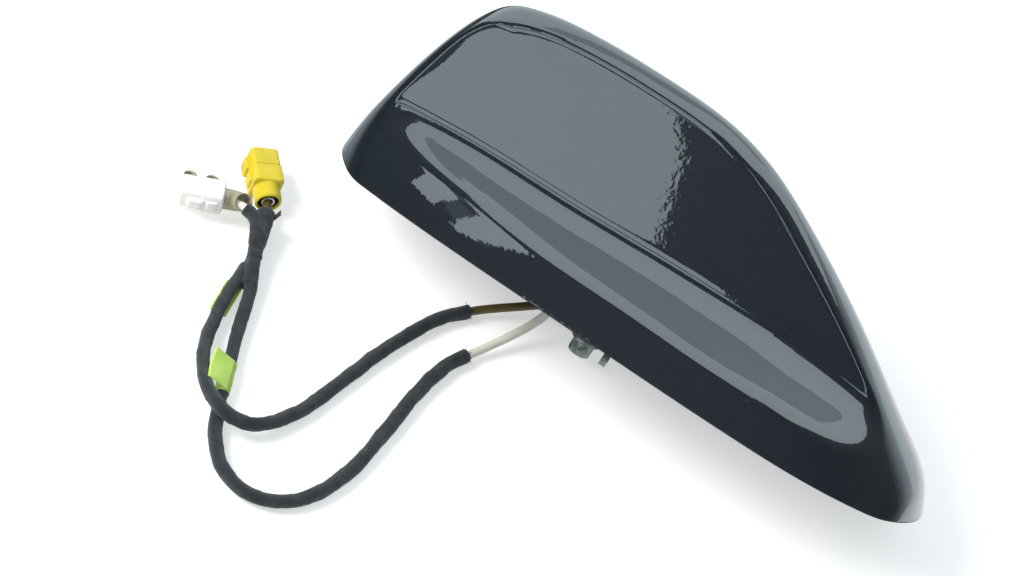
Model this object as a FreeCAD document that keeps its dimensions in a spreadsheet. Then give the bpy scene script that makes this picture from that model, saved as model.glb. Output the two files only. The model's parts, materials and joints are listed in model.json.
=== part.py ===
import FreeCAD, Part
import math
import os

from FreeCAD import Placement, Rotation, Vector

# Roof fin antenna with two coaxial leads, in millimetres.
# The fin and everything inside it are drawn in the car's frame: the origin is on the
# clamp bolt's axis at the roof plane, x runs towards the nose and z is up.
# The leads and their connectors are drawn where they lie, on the table.
# At the end the fin is laid on the table, on its bolt head and its far rim.

SIZES = [
    # cover
    ("fin_length", 204.0), ("fin_height", 68.5), ("rim_half_width", 39.2), ("tail_reach", 92.0),
    ("cover_wall", 2.4), ("skirt_lean", 0.7), ("skirt_depth", 36.0),
    ("tail_edge_radius", 36.0), ("ridge_edge_radius", 4.2), ("nose_edge_radius", 38.0),
    ("flank_top_half", 5.8), ("flank_lean", 0.148),
    ("shelf_half_width", 31.0), ("shelf_height", 8.6), ("shelf_slope", 0.386), ("shelf_rise", 6.0),
    ("fillet_reach", 14.0), ("crease_reach", 1.0), ("lip_reach", 2.5),
    # base
    ("plate_thickness", 3.0), ("plate_clearance", 0.5),
    ("seal_thickness", 1.0), ("seal_width", 5.6), ("seal_inset", 0.4),
    ("pad_length", 62.0), ("pad_width", 38.0), ("pad_thickness", 1.6), ("pad_rim", 6.0),
    ("post_diameter", 6.0), ("post_height", 3.0),
    ("boss_diameter", 6.0), ("boss_rear", -48.0), ("boss_front", 54.0), ("boss_side", 21.0),
    # clamp
    ("block_length", 17.0), ("block_width", 16.0), ("block_depth", 9.0), ("block_rear", 5.5),
    ("bolt_diameter", 6.0), ("bolt_reach", 8.0), ("head_bottom", 18.6), ("head_flats", 10.0),
    ("flange_diameter", 13.0), ("flange_thickness", 1.6),
    ("clip_span", 34.0), ("clip_width", 14.0), ("clip_thickness", 1.2), ("clip_arm", 6.0), ("tab_drop", 4.3),
    ("gland_diameter", 14.0), ("gland_drop", 3.0), ("gland_back", 13.0), ("gland_side", 3.0),
    ("lead_spacing", 6.0),
    # electronics
    ("board_margin", 8.0), ("board_width", 30.0), ("board_thickness", 1.6), ("board_rear", -46.0),
    ("board_screw_inset", 4.0), ("board_screw_side", 11.5),
    ("screw_diameter", 3.0), ("screw_head_diameter", 5.4), ("screw_head_height", 1.6), ("screw_length", 6.0),
    ("patch_side", 25.0), ("patch_height", 4.5), ("patch_gap", 3.0), ("pin_diameter", 1.2),
    ("can_length", 24.0), ("can_width", 12.0), ("can_height", 3.5), ("can_gap", 5.0), ("can_sheet", 0.4),
    ("can_side", 8.0),
    ("carrier_length", 39.0), ("carrier_rear", -37.0), ("carrier_thickness", 2.5), ("carrier_gap", 8.5),
    ("carrier_head_width", 6.4), ("carrier_head_height", 8.0), ("carrier_foot_width", 10.0),
    ("carrier_foot_height", 2.0),
    ("saddle_length", 50.0), ("saddle_rear", -45.0), ("saddle_sheet", 0.8),
    ("coil_radius", 2.0), ("coil_wire", 0.8), ("coil_pitch", 4.0), ("coil_place", -41.0),
    ("phone_length", 22.0), ("phone_drop", 22.9), ("phone_sheet", 1.0), ("phone_gap", 4.0), ("phone_side", 0.6),
    # leads
    ("lead_diameter", 2.7), ("sleeve_diameter", 4.4), ("bundle_diameter", 6.4), ("bundle_length", 13.0),
    ("tape_thickness", 0.3), ("flag_width", 7.0), ("flag_length", 10.0), ("tab_width", 7.0),
    # connectors
    ("housing_side", 10.0), ("housing_length", 19.5), ("collar_length", 6.0), ("collar_diameter", 8.8),
    ("bore_diameter", 6.8), ("socket_diameter", 7.6), ("socket_depth", 9.0),
    ("latch_length", 8.0), ("latch_width", 4.6), ("latch_height", 2.0), ("latch_start", 8.5),
    ("lock_width", 2.2), ("lock_depth", 0.6), ("lock_start", 12.5), ("lock_span", 8.0),
    ("ferrule_diameter", 4.4), ("ferrule_start", 4.3), ("contact_start", 8.0), ("contact_disc", 1.6),
    ("barrel_diameter", 5.2), ("barrel_bore", 4.2), ("barrel_end", 16.5), ("contact_pin", 1.0),
]

doc = FreeCAD.newDocument("roof_fin_antenna")
sheet = doc.addObject("Spreadsheet::Sheet", "Sizes")
for number, (alias, value) in enumerate(SIZES, start=1):
    sheet.set("A%d" % number, alias)
    sheet.set("B%d" % number, str(value))
    sheet.setAlias("B%d" % number, alias)
doc.recompute()


def size(alias):
    return float(getattr(sheet, alias))


def bind(thing, **properties):
    for name, formula in properties.items():
        thing.setExpression(name.replace("__", "."), formula)
    return thing


def place(thing, x, y, z):
    return bind(thing, Placement__Base__x=x, Placement__Base__y=y, Placement__Base__z=z)


def box(name, length, width, height, x, y, z):
    """A block from its lowest corner, each size a formula of the sheet."""
    thing = doc.addObject("Part::Box", name)
    bind(thing, Length=length, Width=width, Height=height)
    return place(thing, x, y, z)


def rod(name, diameter, height, x, y, z):
    """An upright cylinder from the middle of its lower face."""
    thing = doc.addObject("Part::Cylinder", name)
    bind(thing, Radius="(%s) / 2" % diameter, Height=height)
    return place(thing, x, y, z)


def fuse(name, pieces):
    thing = doc.addObject("Part::MultiFuse", name)
    thing.Shapes = pieces
    return thing


def cut(name, base, tool):
    thing = doc.addObject("Part::Cut", name)
    thing.Base = base
    thing.Tool = tool
    return thing


def solid(name, shape):
    thing = doc.addObject("Part::Feature", name)
    thing.Shape = shape
    return thing


# Fin shape: a rounded hull with a scoop along each flank

# side view: share of the length from the tail, share of the height
PROFILE = [
    (0.0, 0.0), (0.006, 0.146), (0.020, 0.340), (0.046, 0.606), (0.0765, 0.810), (0.100, 0.896),
    (0.137, 0.946), (0.230, 0.990), (0.353, 1.0), (0.461, 0.981), (0.539, 0.917), (0.623, 0.788),
    (0.788, 0.489), (0.917, 0.228), (0.977, 0.093), (1.0, 0.0),
]
# rim seen from above: share of the length, share of the half width, before the ends are rounded
PLAN = [(0.0, 0.612), (0.108, 0.745), (0.304, 0.867), (0.4755, 0.936), (0.696, 1.0), (0.8186, 0.995),
        (1.0, 0.944)]
EDGE_SPREAD = 0.5         # how fast the hull widens away from its edge
HULL_BLEND = 4.0          # softness between the hull's edge and its sides
TAIL_EDGE_SHARE = 0.118   # up to here the nearest edge is the tail's
TAIL_SOFT_FROM = 0.67     # height where the tail edge starts to sharpen
TAIL_SOFT_TO = 0.93
NOSE_EDGE_FROM = 0.5      # where the leading edge starts to widen
SHELF_LEVEL_FROM = 0.40   # the shelf rises from here to the tail
CREASE_HEIGHT = 30.0      # above this the scoop's edge is crisp
RIBS = 64
RIB_POINTS = 26
RIB_SAMPLES = 160
END_HEIGHT = 0.8          # how high the flat cut at the tail and nose tips is
END_HALF_WIDTH = 3.0      # half the straight edge at the ends of an outline


def through(points):
    """A smooth curve y(x) through the points."""
    slopes = []
    for i in range(len(points)):
        low = points[max(i - 1, 0)]
        high = points[min(i + 1, len(points) - 1)]
        slopes.append((high[1] - low[1]) / (high[0] - low[0]))

    def value(x):
        i = 0
        while i < len(points) - 2 and x > points[i + 1][0]:
            i += 1
        (x0, y0), (x1, y1) = points[i], points[i + 1]
        t = (x - x0) / (x1 - x0)
        gap = x1 - x0
        return (y0 * (1 + 2 * t) * (1 - t) ** 2 + y1 * t * t * (3 - 2 * t)
                + gap * (slopes[i] * t * (1 - t) ** 2 - slopes[i + 1] * t * t * (1 - t)))

    return value


def ease(share):
    share = min(max(share, 0.0), 1.0)
    return share * share * (3 - 2 * share)


def soft_least(a, b, reach):
    overlap = max(reach - abs(a - b), 0.0) / reach
    return min(a, b) - overlap * overlap * reach / 4


def soft_most(a, b, reach):
    return -soft_least(-a, -b, reach)


fin_length = size("fin_length")
fin_height = size("fin_height")
tail_x = -size("tail_reach")
wall = size("cover_wall")
profile = Part.BSplineCurve()
profile.interpolate([Vector(tail_x + u * fin_length, 0, v * fin_height) for u, v in PROFILE])
plan = through([(tail_x + u * fin_length, v * size("rim_half_width")) for u, v in PLAN])


def edge_radius(point):
    """Radius of the fin's edge at a point of the side view's outline."""
    share = (point.x - tail_x) / fin_length
    ridge = size("ridge_edge_radius")
    if share < TAIL_EDGE_SHARE:
        soft = ease((point.z / fin_height - TAIL_SOFT_FROM) / (TAIL_SOFT_TO - TAIL_SOFT_FROM))
        return size("tail_edge_radius") * (1 - soft) + ridge * soft
    nose = max((share - NOSE_EDGE_FROM) / (1 - NOSE_EDGE_FROM), 0.0)
    return ridge + (size("nose_edge_radius") - ridge) * nose * nose


def half_width(x, z, inset):
    """Half the fin's width at a place in the side view, drawn in by the inset."""
    spot = Vector(x, 0, z)
    edge = profile.value(profile.parameter(spot))
    inward = max(edge.distanceToPoint(spot) - inset, 0.0)
    rounded = math.sqrt(2 * edge_radius(edge) * inward + EDGE_SPREAD * inward * inward)
    depth = size("skirt_depth")
    side = plan(x) - size("skirt_lean") * depth * (1 - math.exp(-z / depth)) - inset
    hull = soft_least(side, rounded, HULL_BLEND)
    level_x = tail_x + SHELF_LEVEL_FROM * fin_length
    rise = size("shelf_rise") * (max(level_x - x, 0.0) / (level_x - tail_x)) ** 1.5
    flank = size("flank_top_half") + (fin_height - z) * size("flank_lean")
    shelf = size("shelf_half_width") - (z - rise - size("shelf_height")) / size("shelf_slope")
    scoop = soft_most(flank, shelf, size("fillet_reach")) - inset
    crisp = ease(z / CREASE_HEIGHT)
    reach = size("lip_reach") * (1 - crisp) + size("crease_reach") * crisp
    return max(soft_least(hull, scoop, reach), 0.0)


def rib_top(share, inset):
    """A point of the side view's outline, drawn in by the inset."""
    first, last = profile.FirstParameter, profile.LastParameter
    along = first + (last - first) * share
    tangent = profile.tangent(along)[0]
    return profile.value(along) + Vector(tangent.z, 0, -tangent.x) * inset


def end_share(end, inset):
    """How far along the outline the fin's end starts to rise from the rim."""
    low, high = end, 0.5
    for halving in range(40):
        share = (low + high) / 2
        if rib_top(share, inset).z < END_HEIGHT:
            low = share
        else:
            high = share
    return high


def rib(share, inset):
    """Points from the ridge to the rim, in an even spacing, on one side of the fin."""
    top = rib_top(share, inset)
    foot_span = fin_length - 2 * inset
    foot = Vector(tail_x + inset + foot_span * foot_share(share), 0, 0)
    points = [top]
    for i in range(1, RIB_SAMPLES + 1):
        t = (i / RIB_SAMPLES) ** 2
        spot = top + (foot - top) * t
        points.append(Vector(spot.x, half_width(spot.x, spot.z, inset), spot.z))
    lengths = [0.0]
    for near, far in zip(points, points[1:]):
        lengths.append(lengths[-1] + far.distanceToPoint(near))
    even = []
    j = 0
    for i in range(RIB_POINTS):
        goal = lengths[-1] * i / (RIB_POINTS - 1)
        while j < len(lengths) - 2 and lengths[j + 1] < goal:
            j += 1
        gap = lengths[j + 1] - lengths[j]
        t = (goal - lengths[j]) / gap if gap > 0 else 0.0
        even.append(points[j] + (points[j + 1] - points[j]) * t)
    return even


profile_length = profile.length()


def foot_share(share):
    """Where a rib meets the rim: as far along as its top is along the outline."""
    first, last = profile.FirstParameter, profile.LastParameter
    return profile.length(first, first + (last - first) * share) / profile_length


def skin(inset):
    """Faces of the fin's shape drawn in by the inset, and the outline of its open underside."""
    grid = []
    first = end_share(0.0, inset)
    last = end_share(1.0, inset)
    for k in range(RIBS + 1):
        even = k / RIBS
        closer_at_ends = 0.6 * even + 0.2 * (1 - math.cos(math.pi * even))
        half = rib(first + (last - first) * closer_at_ends, inset)
        other = [Vector(p.x, -p.y, p.z) for p in half[1:]]
        grid.append(list(reversed(other)) + half)
    surface = Part.BSplineSurface()
    surface.interpolate(grid)
    face = surface.toShape()
    faces = [face]
    chords = []
    for row in (grid[0], grid[-1]):
        chord = Part.LineSegment(row[-1], row[0]).toShape()
        edge = min(face.Edges, key=lambda e: e.CenterOfMass.distanceToPoint(middle(row)))
        faces.append(Part.Face(Part.Wire([edge, chord])))
        chords.append(chord)
    rims = [e for e in face.Edges if abs(e.BoundBox.ZMax) < 1e-6]
    return faces, Part.Wire(Part.__sortEdges__(rims + chords))


def closed(faces):
    shell = Part.makeShell(faces)
    shell.sewShape()
    return Part.makeSolid(shell)


def middle(row):
    total = Vector(0, 0, 0)
    for point in row:
        total = total + point
    return total / len(row)


def section_end(end_x, z, inset):
    """Where the fin's section at a height is as narrow as its straight end."""
    inside, outside = tail_x + fin_length / 2, end_x
    for halving in range(40):
        x = (inside + outside) / 2
        if half_width(x, z, inset) > END_HALF_WIDTH:
            inside = x
        else:
            outside = x
    return inside


def section_face(z, inset, drawn_in):
    """The fin's section at a height as a flat outline at the roof plane, drawn in all round."""
    rear = section_end(tail_x, z, inset)
    front = section_end(tail_x + fin_length, z, inset)
    edge = []
    for k in range(RIBS + 1):
        x = rear + (front - rear) * (1 - math.cos(math.pi * k / RIBS)) / 2
        edge.append(Vector(x, half_width(x, z, inset), 0))
    side = []
    for k, point in enumerate(edge):
        along = edge[min(k + 1, RIBS)] - edge[max(k - 1, 0)]
        inward = Vector(along.y, -along.x, 0).normalize()
        side.append(point + inward * drawn_in)
    other = [Vector(p.x, -p.y, 0) for p in side]
    edges = [Part.LineSegment(side[i], other[i]).toShape() for i in (0, -1)]
    for points in (side, other):
        curve = Part.BSplineCurve()
        curve.interpolate(points)
        edges.append(curve.toShape())
    return Part.Face(Part.Wire(Part.__sortEdges__(edges)))


def rounded(name, base, way, radius):
    """Round the edges of a block that run along the given way."""
    doc.recompute()
    edges = []
    for number, edge in enumerate(base.Shape.Edges, start=1):
        if abs(edge.tangentAt(edge.FirstParameter).dot(way)) > 0.99:
            edges.append((number, radius, radius))
    thing = doc.addObject("Part::Fillet", name)
    thing.Base = base
    thing.Edges = edges
    return thing


def extruded(name, outline, way, height):
    """A flat outline drawn out along a way."""
    thing = doc.addObject("Part::Extrusion", name)
    thing.Base = outline
    thing.DirMode = "Custom"
    thing.Dir = way
    thing.Solid = True
    return bind(thing, LengthFwd=height)


UP = Vector(0, 0, 1)
AHEAD = Vector(1, 0, 0)
pieces = {}    # label of each sub-part: its object, and the placement that lays it on the table


def keep(label, thing, pose):
    thing.Label = label
    pieces[label] = (thing, pose)
    return thing


FIN = "fin"    # these pieces are laid down with the fin
TABLE = Placement()

PLATE_TOP = "Sizes.plate_thickness"
BOARD_LOW = "(Sizes.plate_thickness + Sizes.post_height)"
BOARD_TOP = "(Sizes.plate_thickness + Sizes.post_height + Sizes.board_thickness)"
CLIP_LOW = "(-Sizes.block_depth - Sizes.clip_thickness)"
CARRIER_TOP = "(Sizes.fin_height - Sizes.carrier_gap)"
CARRIER_END = "(Sizes.carrier_rear + Sizes.carrier_length)"
CAN_REAR = "(" + CARRIER_END + " + Sizes.can_gap)"
PATCH_REAR = "(" + CAN_REAR + " + Sizes.can_length + Sizes.patch_gap)"
BOARD_FRONT = "(" + PATCH_REAR + " + Sizes.patch_side + Sizes.board_margin)"


# Cover: a thin shell with four screw bosses

outer_faces, outer_rim = skin(0.0)
inner_faces, inner_rim = skin(wall)
cover_outer = solid("cover_outer", closed(outer_faces + [Part.Face(outer_rim)]))
rim_ring = Part.Face(outer_rim).cut(Part.Face(inner_rim))
cover_shell = solid("cover_shell", closed(outer_faces + inner_faces + rim_ring.Faces))
BOSS_PLACES = [(x, sign) for x in ("Sizes.boss_rear", "Sizes.boss_front") for sign in ("", "-")]
boss_rods = []
boss_holes = []
for number, (x, sign) in enumerate(BOSS_PLACES):
    side = sign + "Sizes.boss_side"
    boss_rods.append(rod("boss_rod%d" % number, "Sizes.boss_diameter", "Sizes.fin_height", x, side, PLATE_TOP))
    boss_holes.append(rod("boss_hole%d" % number, "Sizes.screw_diameter", "Sizes.screw_length", x, side, "0"))
bosses = doc.addObject("Part::Common", "bosses")
bosses.Base = fuse("boss_rods", boss_rods)
bosses.Tool = cover_outer
boss_bores = fuse("boss_bores", boss_holes)
keep("fin_cover", cut("cover_bored", fuse("cover_bossed", [cover_shell, bosses]), boss_bores), FIN)


# Base plate, rim seal and roof pad

plate_outline = solid("plate_outline", section_face(size("plate_thickness"), wall, size("plate_clearance")))
plate_blank = extruded("plate_blank", plate_outline, UP, PLATE_TOP)
POST_PLACES = [
    (x, sign)
    for x in ("Sizes.board_rear + Sizes.board_screw_inset",
              BOARD_FRONT + " - Sizes.board_screw_inset")
    for sign in ("", "-")
]
posts = []
post_holes = []
for number, (x, sign) in enumerate(POST_PLACES):
    side = sign + "Sizes.board_screw_side"
    posts.append(rod("post%d" % number, "Sizes.post_diameter", "Sizes.post_height", x, side, PLATE_TOP))
    post_holes.append(rod("post_hole%d" % number, "Sizes.screw_diameter", "Sizes.screw_length",
                          x, side, BOARD_TOP + " - Sizes.screw_length"))
board_bores = fuse("board_bores", post_holes)
gland_hole = rod("gland_hole", "Sizes.gland_diameter", PLATE_TOP, "-Sizes.gland_back", "Sizes.gland_side", "0")
plate_holes = fuse("plate_holes", [boss_bores, board_bores, gland_hole])
keep("base_plate", cut("plate_drilled", fuse("plate_posts", [plate_blank] + posts), plate_holes), FIN)

seal_inset = size("seal_inset")
seal_ring = section_face(0.0, 0.0, seal_inset).cut(section_face(0.0, 0.0, seal_inset + size("seal_width")))
seal_outline = solid("seal_outline", seal_ring)
keep("rim_seal", extruded("seal_strip", seal_outline, -UP, "Sizes.seal_thickness"), FIN)

PAD_CORNER = 9.0
PAD_HOLE_CORNER = 4.0
PAD_CENTRE = "(Sizes.block_length - Sizes.block_rear - Sizes.gland_back - Sizes.gland_diameter / 2) / 2"
pad_block = box("pad_block", "Sizes.pad_length", "Sizes.pad_width", "Sizes.pad_thickness",
                PAD_CENTRE + " - Sizes.pad_length / 2", "-Sizes.pad_width / 2", "-Sizes.pad_thickness")
pad_hole = box("pad_hole", "Sizes.pad_length - 2 * Sizes.pad_rim", "Sizes.pad_width - 2 * Sizes.pad_rim",
               "Sizes.pad_thickness", PAD_CENTRE + " - Sizes.pad_length / 2 + Sizes.pad_rim",
               "-Sizes.pad_width / 2 + Sizes.pad_rim", "-Sizes.pad_thickness")
keep("roof_pad", cut("pad_ring", rounded("pad_outer", pad_block, UP, PAD_CORNER),
                     rounded("pad_inner", pad_hole, UP, PAD_HOLE_CORNER)), FIN)


# Clamp: die-cast block, bolt and spring claw, and the gland that the leads pass

BLOCK_CORNER = 2.0
block_blank = box("block_blank", "Sizes.block_length", "Sizes.block_width", "Sizes.block_depth",
                  "-Sizes.block_rear", "-Sizes.block_width / 2", "-Sizes.block_depth")
block_bore = rod("block_bore", "Sizes.bolt_diameter", "Sizes.bolt_reach", "0", "0", "-Sizes.block_depth")
keep("clamp_block", cut("block_bored", rounded("block_rounded", block_blank, UP, BLOCK_CORNER), block_bore), FIN)

shank = rod("shank", "Sizes.bolt_diameter", "Sizes.bolt_reach + Sizes.clip_thickness", "0", "0", CLIP_LOW)
flange = doc.addObject("Part::Cone", "flange")
bind(flange, Radius1="Sizes.head_flats / 2", Radius2="Sizes.flange_diameter / 2", Height="Sizes.flange_thickness")
place(flange, "0", "0", CLIP_LOW + " - Sizes.flange_thickness")
head = doc.addObject("Part::Prism", "head")
head.Polygon = 6
head.Placement.Rotation = Rotation(Vector(0, 0, 1), 30)
bind(head, Circumradius="Sizes.head_flats / sqrt(3)",
     Height="Sizes.head_bottom + " + CLIP_LOW + " - Sizes.flange_thickness / 2")
place(head, "0", "0", "-Sizes.head_bottom")
keep("clamp_bolt", fuse("bolt", [shank, flange, head]), FIN)

clip_base = box("clip_base", "Sizes.clip_width", "Sizes.clip_span", "Sizes.clip_thickness",
                "-Sizes.clip_width / 2", "-Sizes.clip_span / 2", CLIP_LOW)
clip_pieces = [clip_base]
CLAW_REACH = "2 * Sizes.clip_thickness"
for name, arm_y, claw_y in (
    ("near", "-Sizes.clip_span / 2", "-Sizes.clip_span / 2 - " + CLAW_REACH),
    ("far", "Sizes.clip_span / 2 - Sizes.clip_thickness", "Sizes.clip_span / 2"),
):
    clip_pieces.append(box("arm_" + name, "Sizes.clip_width", "Sizes.clip_thickness", "Sizes.clip_arm",
                           "-Sizes.clip_width / 2", arm_y, CLIP_LOW))
    clip_pieces.append(box("claw_" + name, "Sizes.clip_width / 2", CLAW_REACH, "Sizes.clip_thickness",
                           "-Sizes.clip_width / 4", claw_y,
                           CLIP_LOW + " + Sizes.clip_arm - Sizes.clip_thickness"))
clip_pieces.append(box("clip_tab", "Sizes.clip_thickness", "Sizes.clip_width / 3",
                       "Sizes.tab_drop + Sizes.clip_thickness", "Sizes.clip_width / 2",
                       "-Sizes.clip_width / 6", CLIP_LOW + " - Sizes.tab_drop"))
clip_hole = rod("clip_hole", "Sizes.bolt_diameter", "Sizes.clip_thickness", "0", "0", CLIP_LOW)
keep("claw_clip", cut("clip_drilled", fuse("clip_bent", clip_pieces), clip_hole), FIN)

gland_body = rod("gland_body", "Sizes.gland_diameter", PLATE_TOP + " + Sizes.gland_drop",
                 "-Sizes.gland_back", "Sizes.gland_side", "-Sizes.gland_drop")
LEAD_SIDES = {"brown": "Sizes.gland_side + Sizes.lead_spacing / 2", "cream": "Sizes.gland_side - Sizes.lead_spacing / 2"}
gland_bores = []
for name, side in LEAD_SIDES.items():
    gland_bores.append(rod("gland_bore_" + name, "Sizes.lead_diameter", PLATE_TOP + " + Sizes.gland_drop",
                           "-Sizes.gland_back", side, "-Sizes.gland_drop"))
keep("lead_gland", cut("gland_bored", gland_body, fuse("gland_bores", gland_bores)), FIN)


def screws(label, places, top, turned):
    """A group of screws: heads on one face, shanks through it."""
    solids = []
    for number, (x, side) in enumerate(places):
        head_z = top + " - Sizes.screw_head_height" if turned else top
        shank_z = top if turned else top + " - Sizes.screw_length"
        screw_head = rod("%s_head%d" % (label, number), "Sizes.screw_head_diameter", "Sizes.screw_head_height",
                         x, side, head_z)
        screw_shank = rod("%s_shank%d" % (label, number), "Sizes.screw_diameter", "Sizes.screw_length",
                          x, side, shank_z)
        solids.append(fuse("%s%d" % (label, number), [screw_head, screw_shank]))
    group = doc.addObject("Part::Compound", label + "_group")
    group.Links = solids
    keep(label, group, FIN)


screws("cover_screws", [(x, sign + "Sizes.boss_side") for x, sign in BOSS_PLACES], "0", True)
screws("board_screws", [(x, sign + "Sizes.board_screw_side") for x, sign in POST_PLACES], BOARD_TOP, False)


# Electronics: main board, satellite patch, shield can and the radio and phone elements

board_blank = box("board_blank", BOARD_FRONT + " - Sizes.board_rear", "Sizes.board_width", "Sizes.board_thickness",
                  "Sizes.board_rear", "-Sizes.board_width / 2", BOARD_LOW)
pin_rod = rod("pin_rod", "Sizes.pin_diameter", "Sizes.board_thickness + Sizes.patch_height",
              PATCH_REAR + " + Sizes.patch_side / 2", "0", BOARD_LOW)
board_holes = fuse("board_holes", [board_bores, pin_rod])
keep("circuit_board", cut("board_drilled", board_blank, board_holes), FIN)
patch_block = box("patch_block", "Sizes.patch_side", "Sizes.patch_side", "Sizes.patch_height",
                  PATCH_REAR, "-Sizes.patch_side / 2", BOARD_TOP)
keep("satellite_patch", cut("patch_drilled", patch_block, pin_rod), FIN)
keep("patch_pin", pin_rod, FIN)

can_block = box("can_block", "Sizes.can_length", "Sizes.can_width", "Sizes.can_height",
                CAN_REAR, "-Sizes.can_side - Sizes.can_width / 2", BOARD_TOP)
can_inside = box("can_inside", "Sizes.can_length - 2 * Sizes.can_sheet", "Sizes.can_width - 2 * Sizes.can_sheet",
                 "Sizes.can_height - Sizes.can_sheet", CAN_REAR + " + Sizes.can_sheet",
                 "-Sizes.can_side - Sizes.can_width / 2 + Sizes.can_sheet", BOARD_TOP)
keep("shield_can", cut("can_shell", can_block, can_inside), FIN)

carrier_wall = box("carrier_wall", "Sizes.carrier_length", "Sizes.carrier_thickness",
                   CARRIER_TOP + " - " + BOARD_TOP, "Sizes.carrier_rear", "-Sizes.carrier_thickness / 2", BOARD_TOP)
carrier_foot = box("carrier_foot", "Sizes.carrier_length", "Sizes.carrier_foot_width", "Sizes.carrier_foot_height",
                   "Sizes.carrier_rear", "-Sizes.carrier_foot_width / 2", BOARD_TOP)
carrier_head = box("carrier_head", "Sizes.carrier_length", "Sizes.carrier_head_width", "Sizes.carrier_head_height",
                   "Sizes.carrier_rear", "-Sizes.carrier_head_width / 2",
                   CARRIER_TOP + " - Sizes.carrier_head_height")
keep("radio_carrier", fuse("carrier", [carrier_wall, carrier_foot, carrier_head]), FIN)

saddle_block = box("saddle_block", "Sizes.saddle_length", "Sizes.carrier_head_width + 2 * Sizes.saddle_sheet",
                   "Sizes.carrier_head_height + Sizes.saddle_sheet", "Sizes.saddle_rear",
                   "-Sizes.carrier_head_width / 2 - Sizes.saddle_sheet",
                   CARRIER_TOP + " - Sizes.carrier_head_height")
saddle_inside = box("saddle_inside", "Sizes.saddle_length", "Sizes.carrier_head_width", "Sizes.carrier_head_height",
                    "Sizes.saddle_rear", "-Sizes.carrier_head_width / 2",
                    CARRIER_TOP + " - Sizes.carrier_head_height")
keep("radio_saddle", cut("saddle_folded", saddle_block, saddle_inside), FIN)

coil_path = doc.addObject("Part::Helix", "coil_path")
bind(coil_path, Radius="Sizes.coil_radius", Pitch="Sizes.coil_pitch",
     Height=CARRIER_TOP + " - Sizes.coil_wire - " + BOARD_TOP)
place(coil_path, "Sizes.coil_place", "0", BOARD_TOP + " + Sizes.coil_wire / 2")
coil_section = doc.addObject("Part::Circle", "coil_section")
bind(coil_section, Radius="Sizes.coil_wire / 2")
coil_section.Placement.Rotation = Rotation(Vector(1, 0, 0), 90)
place(coil_section, "Sizes.coil_place + Sizes.coil_radius", "0", BOARD_TOP + " + Sizes.coil_wire / 2")
doc.recompute()
coil = doc.addObject("Part::Sweep", "coil")
coil.Sections = [coil_section]
coil.Spine = (coil_path, ["Edge%d" % (n + 1) for n in range(len(coil_path.Shape.Edges))])
coil.Solid = True
coil.Frenet = True
keep("radio_coil", coil, FIN)

keep("phone_element", box("phone_plate", "Sizes.phone_length", "Sizes.phone_sheet",
                          "Sizes.fin_height - Sizes.phone_drop - " + BOARD_TOP,
                          CARRIER_END + " + Sizes.phone_gap", "Sizes.phone_side - Sizes.phone_sheet / 2", BOARD_TOP), FIN)


# How the fin lies: on the corner of its bolt head and on its far rim

doc.recompute()
rim_reach = max(half_width(tail_x + fin_length * k / 200, 0.0, size("seal_inset")) for k in range(1, 200))
head_corner = size("head_flats") / math.sqrt(3)
lying_angle = math.degrees(math.atan2(size("head_bottom") - size("seal_thickness"), rim_reach - head_corner))
turned = Placement(Vector(0, 0, 0), Rotation(Vector(1, 0, 0), -lying_angle))


def laid(shape, pose):
    copy = shape.copy()
    copy.Placement = pose.multiply(copy.Placement)
    return copy


reach = FreeCAD.BoundBox()
for thing, pose in pieces.values():
    reach.add(laid(thing.Shape, turned).optimalBoundingBox())
shift = Vector(-reach.Center.x, -reach.Center.y, -reach.ZMin)
lying = Placement(shift, turned.Rotation)
print("lying angle", round(lying_angle, 2), "shift", [round(v, 2) for v in shift])


# Connectors: where they lie, each drawn along x from its cable end

HOUSING_EDGE = 1.5
CONNECTORS = {
    "yellow": (Vector(-112.1, -25.2, 5.0), Vector(-0.603, 0.798, 0.0)),
    "white": (Vector(-116.8, -33.2, 7.6), Vector(-0.957, -0.257, -0.134)),
}


def along_x(name, diameter, start, length):
    thing = rod(name, diameter, length, start, "0", "0")
    thing.Placement.Rotation = Rotation(Vector(0, 1, 0), 90)
    return thing


def connector_pose(rear, front_way):
    """x along the connector, z as upright as it can be."""
    way = Vector(front_way).normalize()
    side = Vector(0, 0, 1).cross(way)
    return Placement(rear, Rotation(way, side, Vector(0, 0, 1), "XYZ"))


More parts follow.
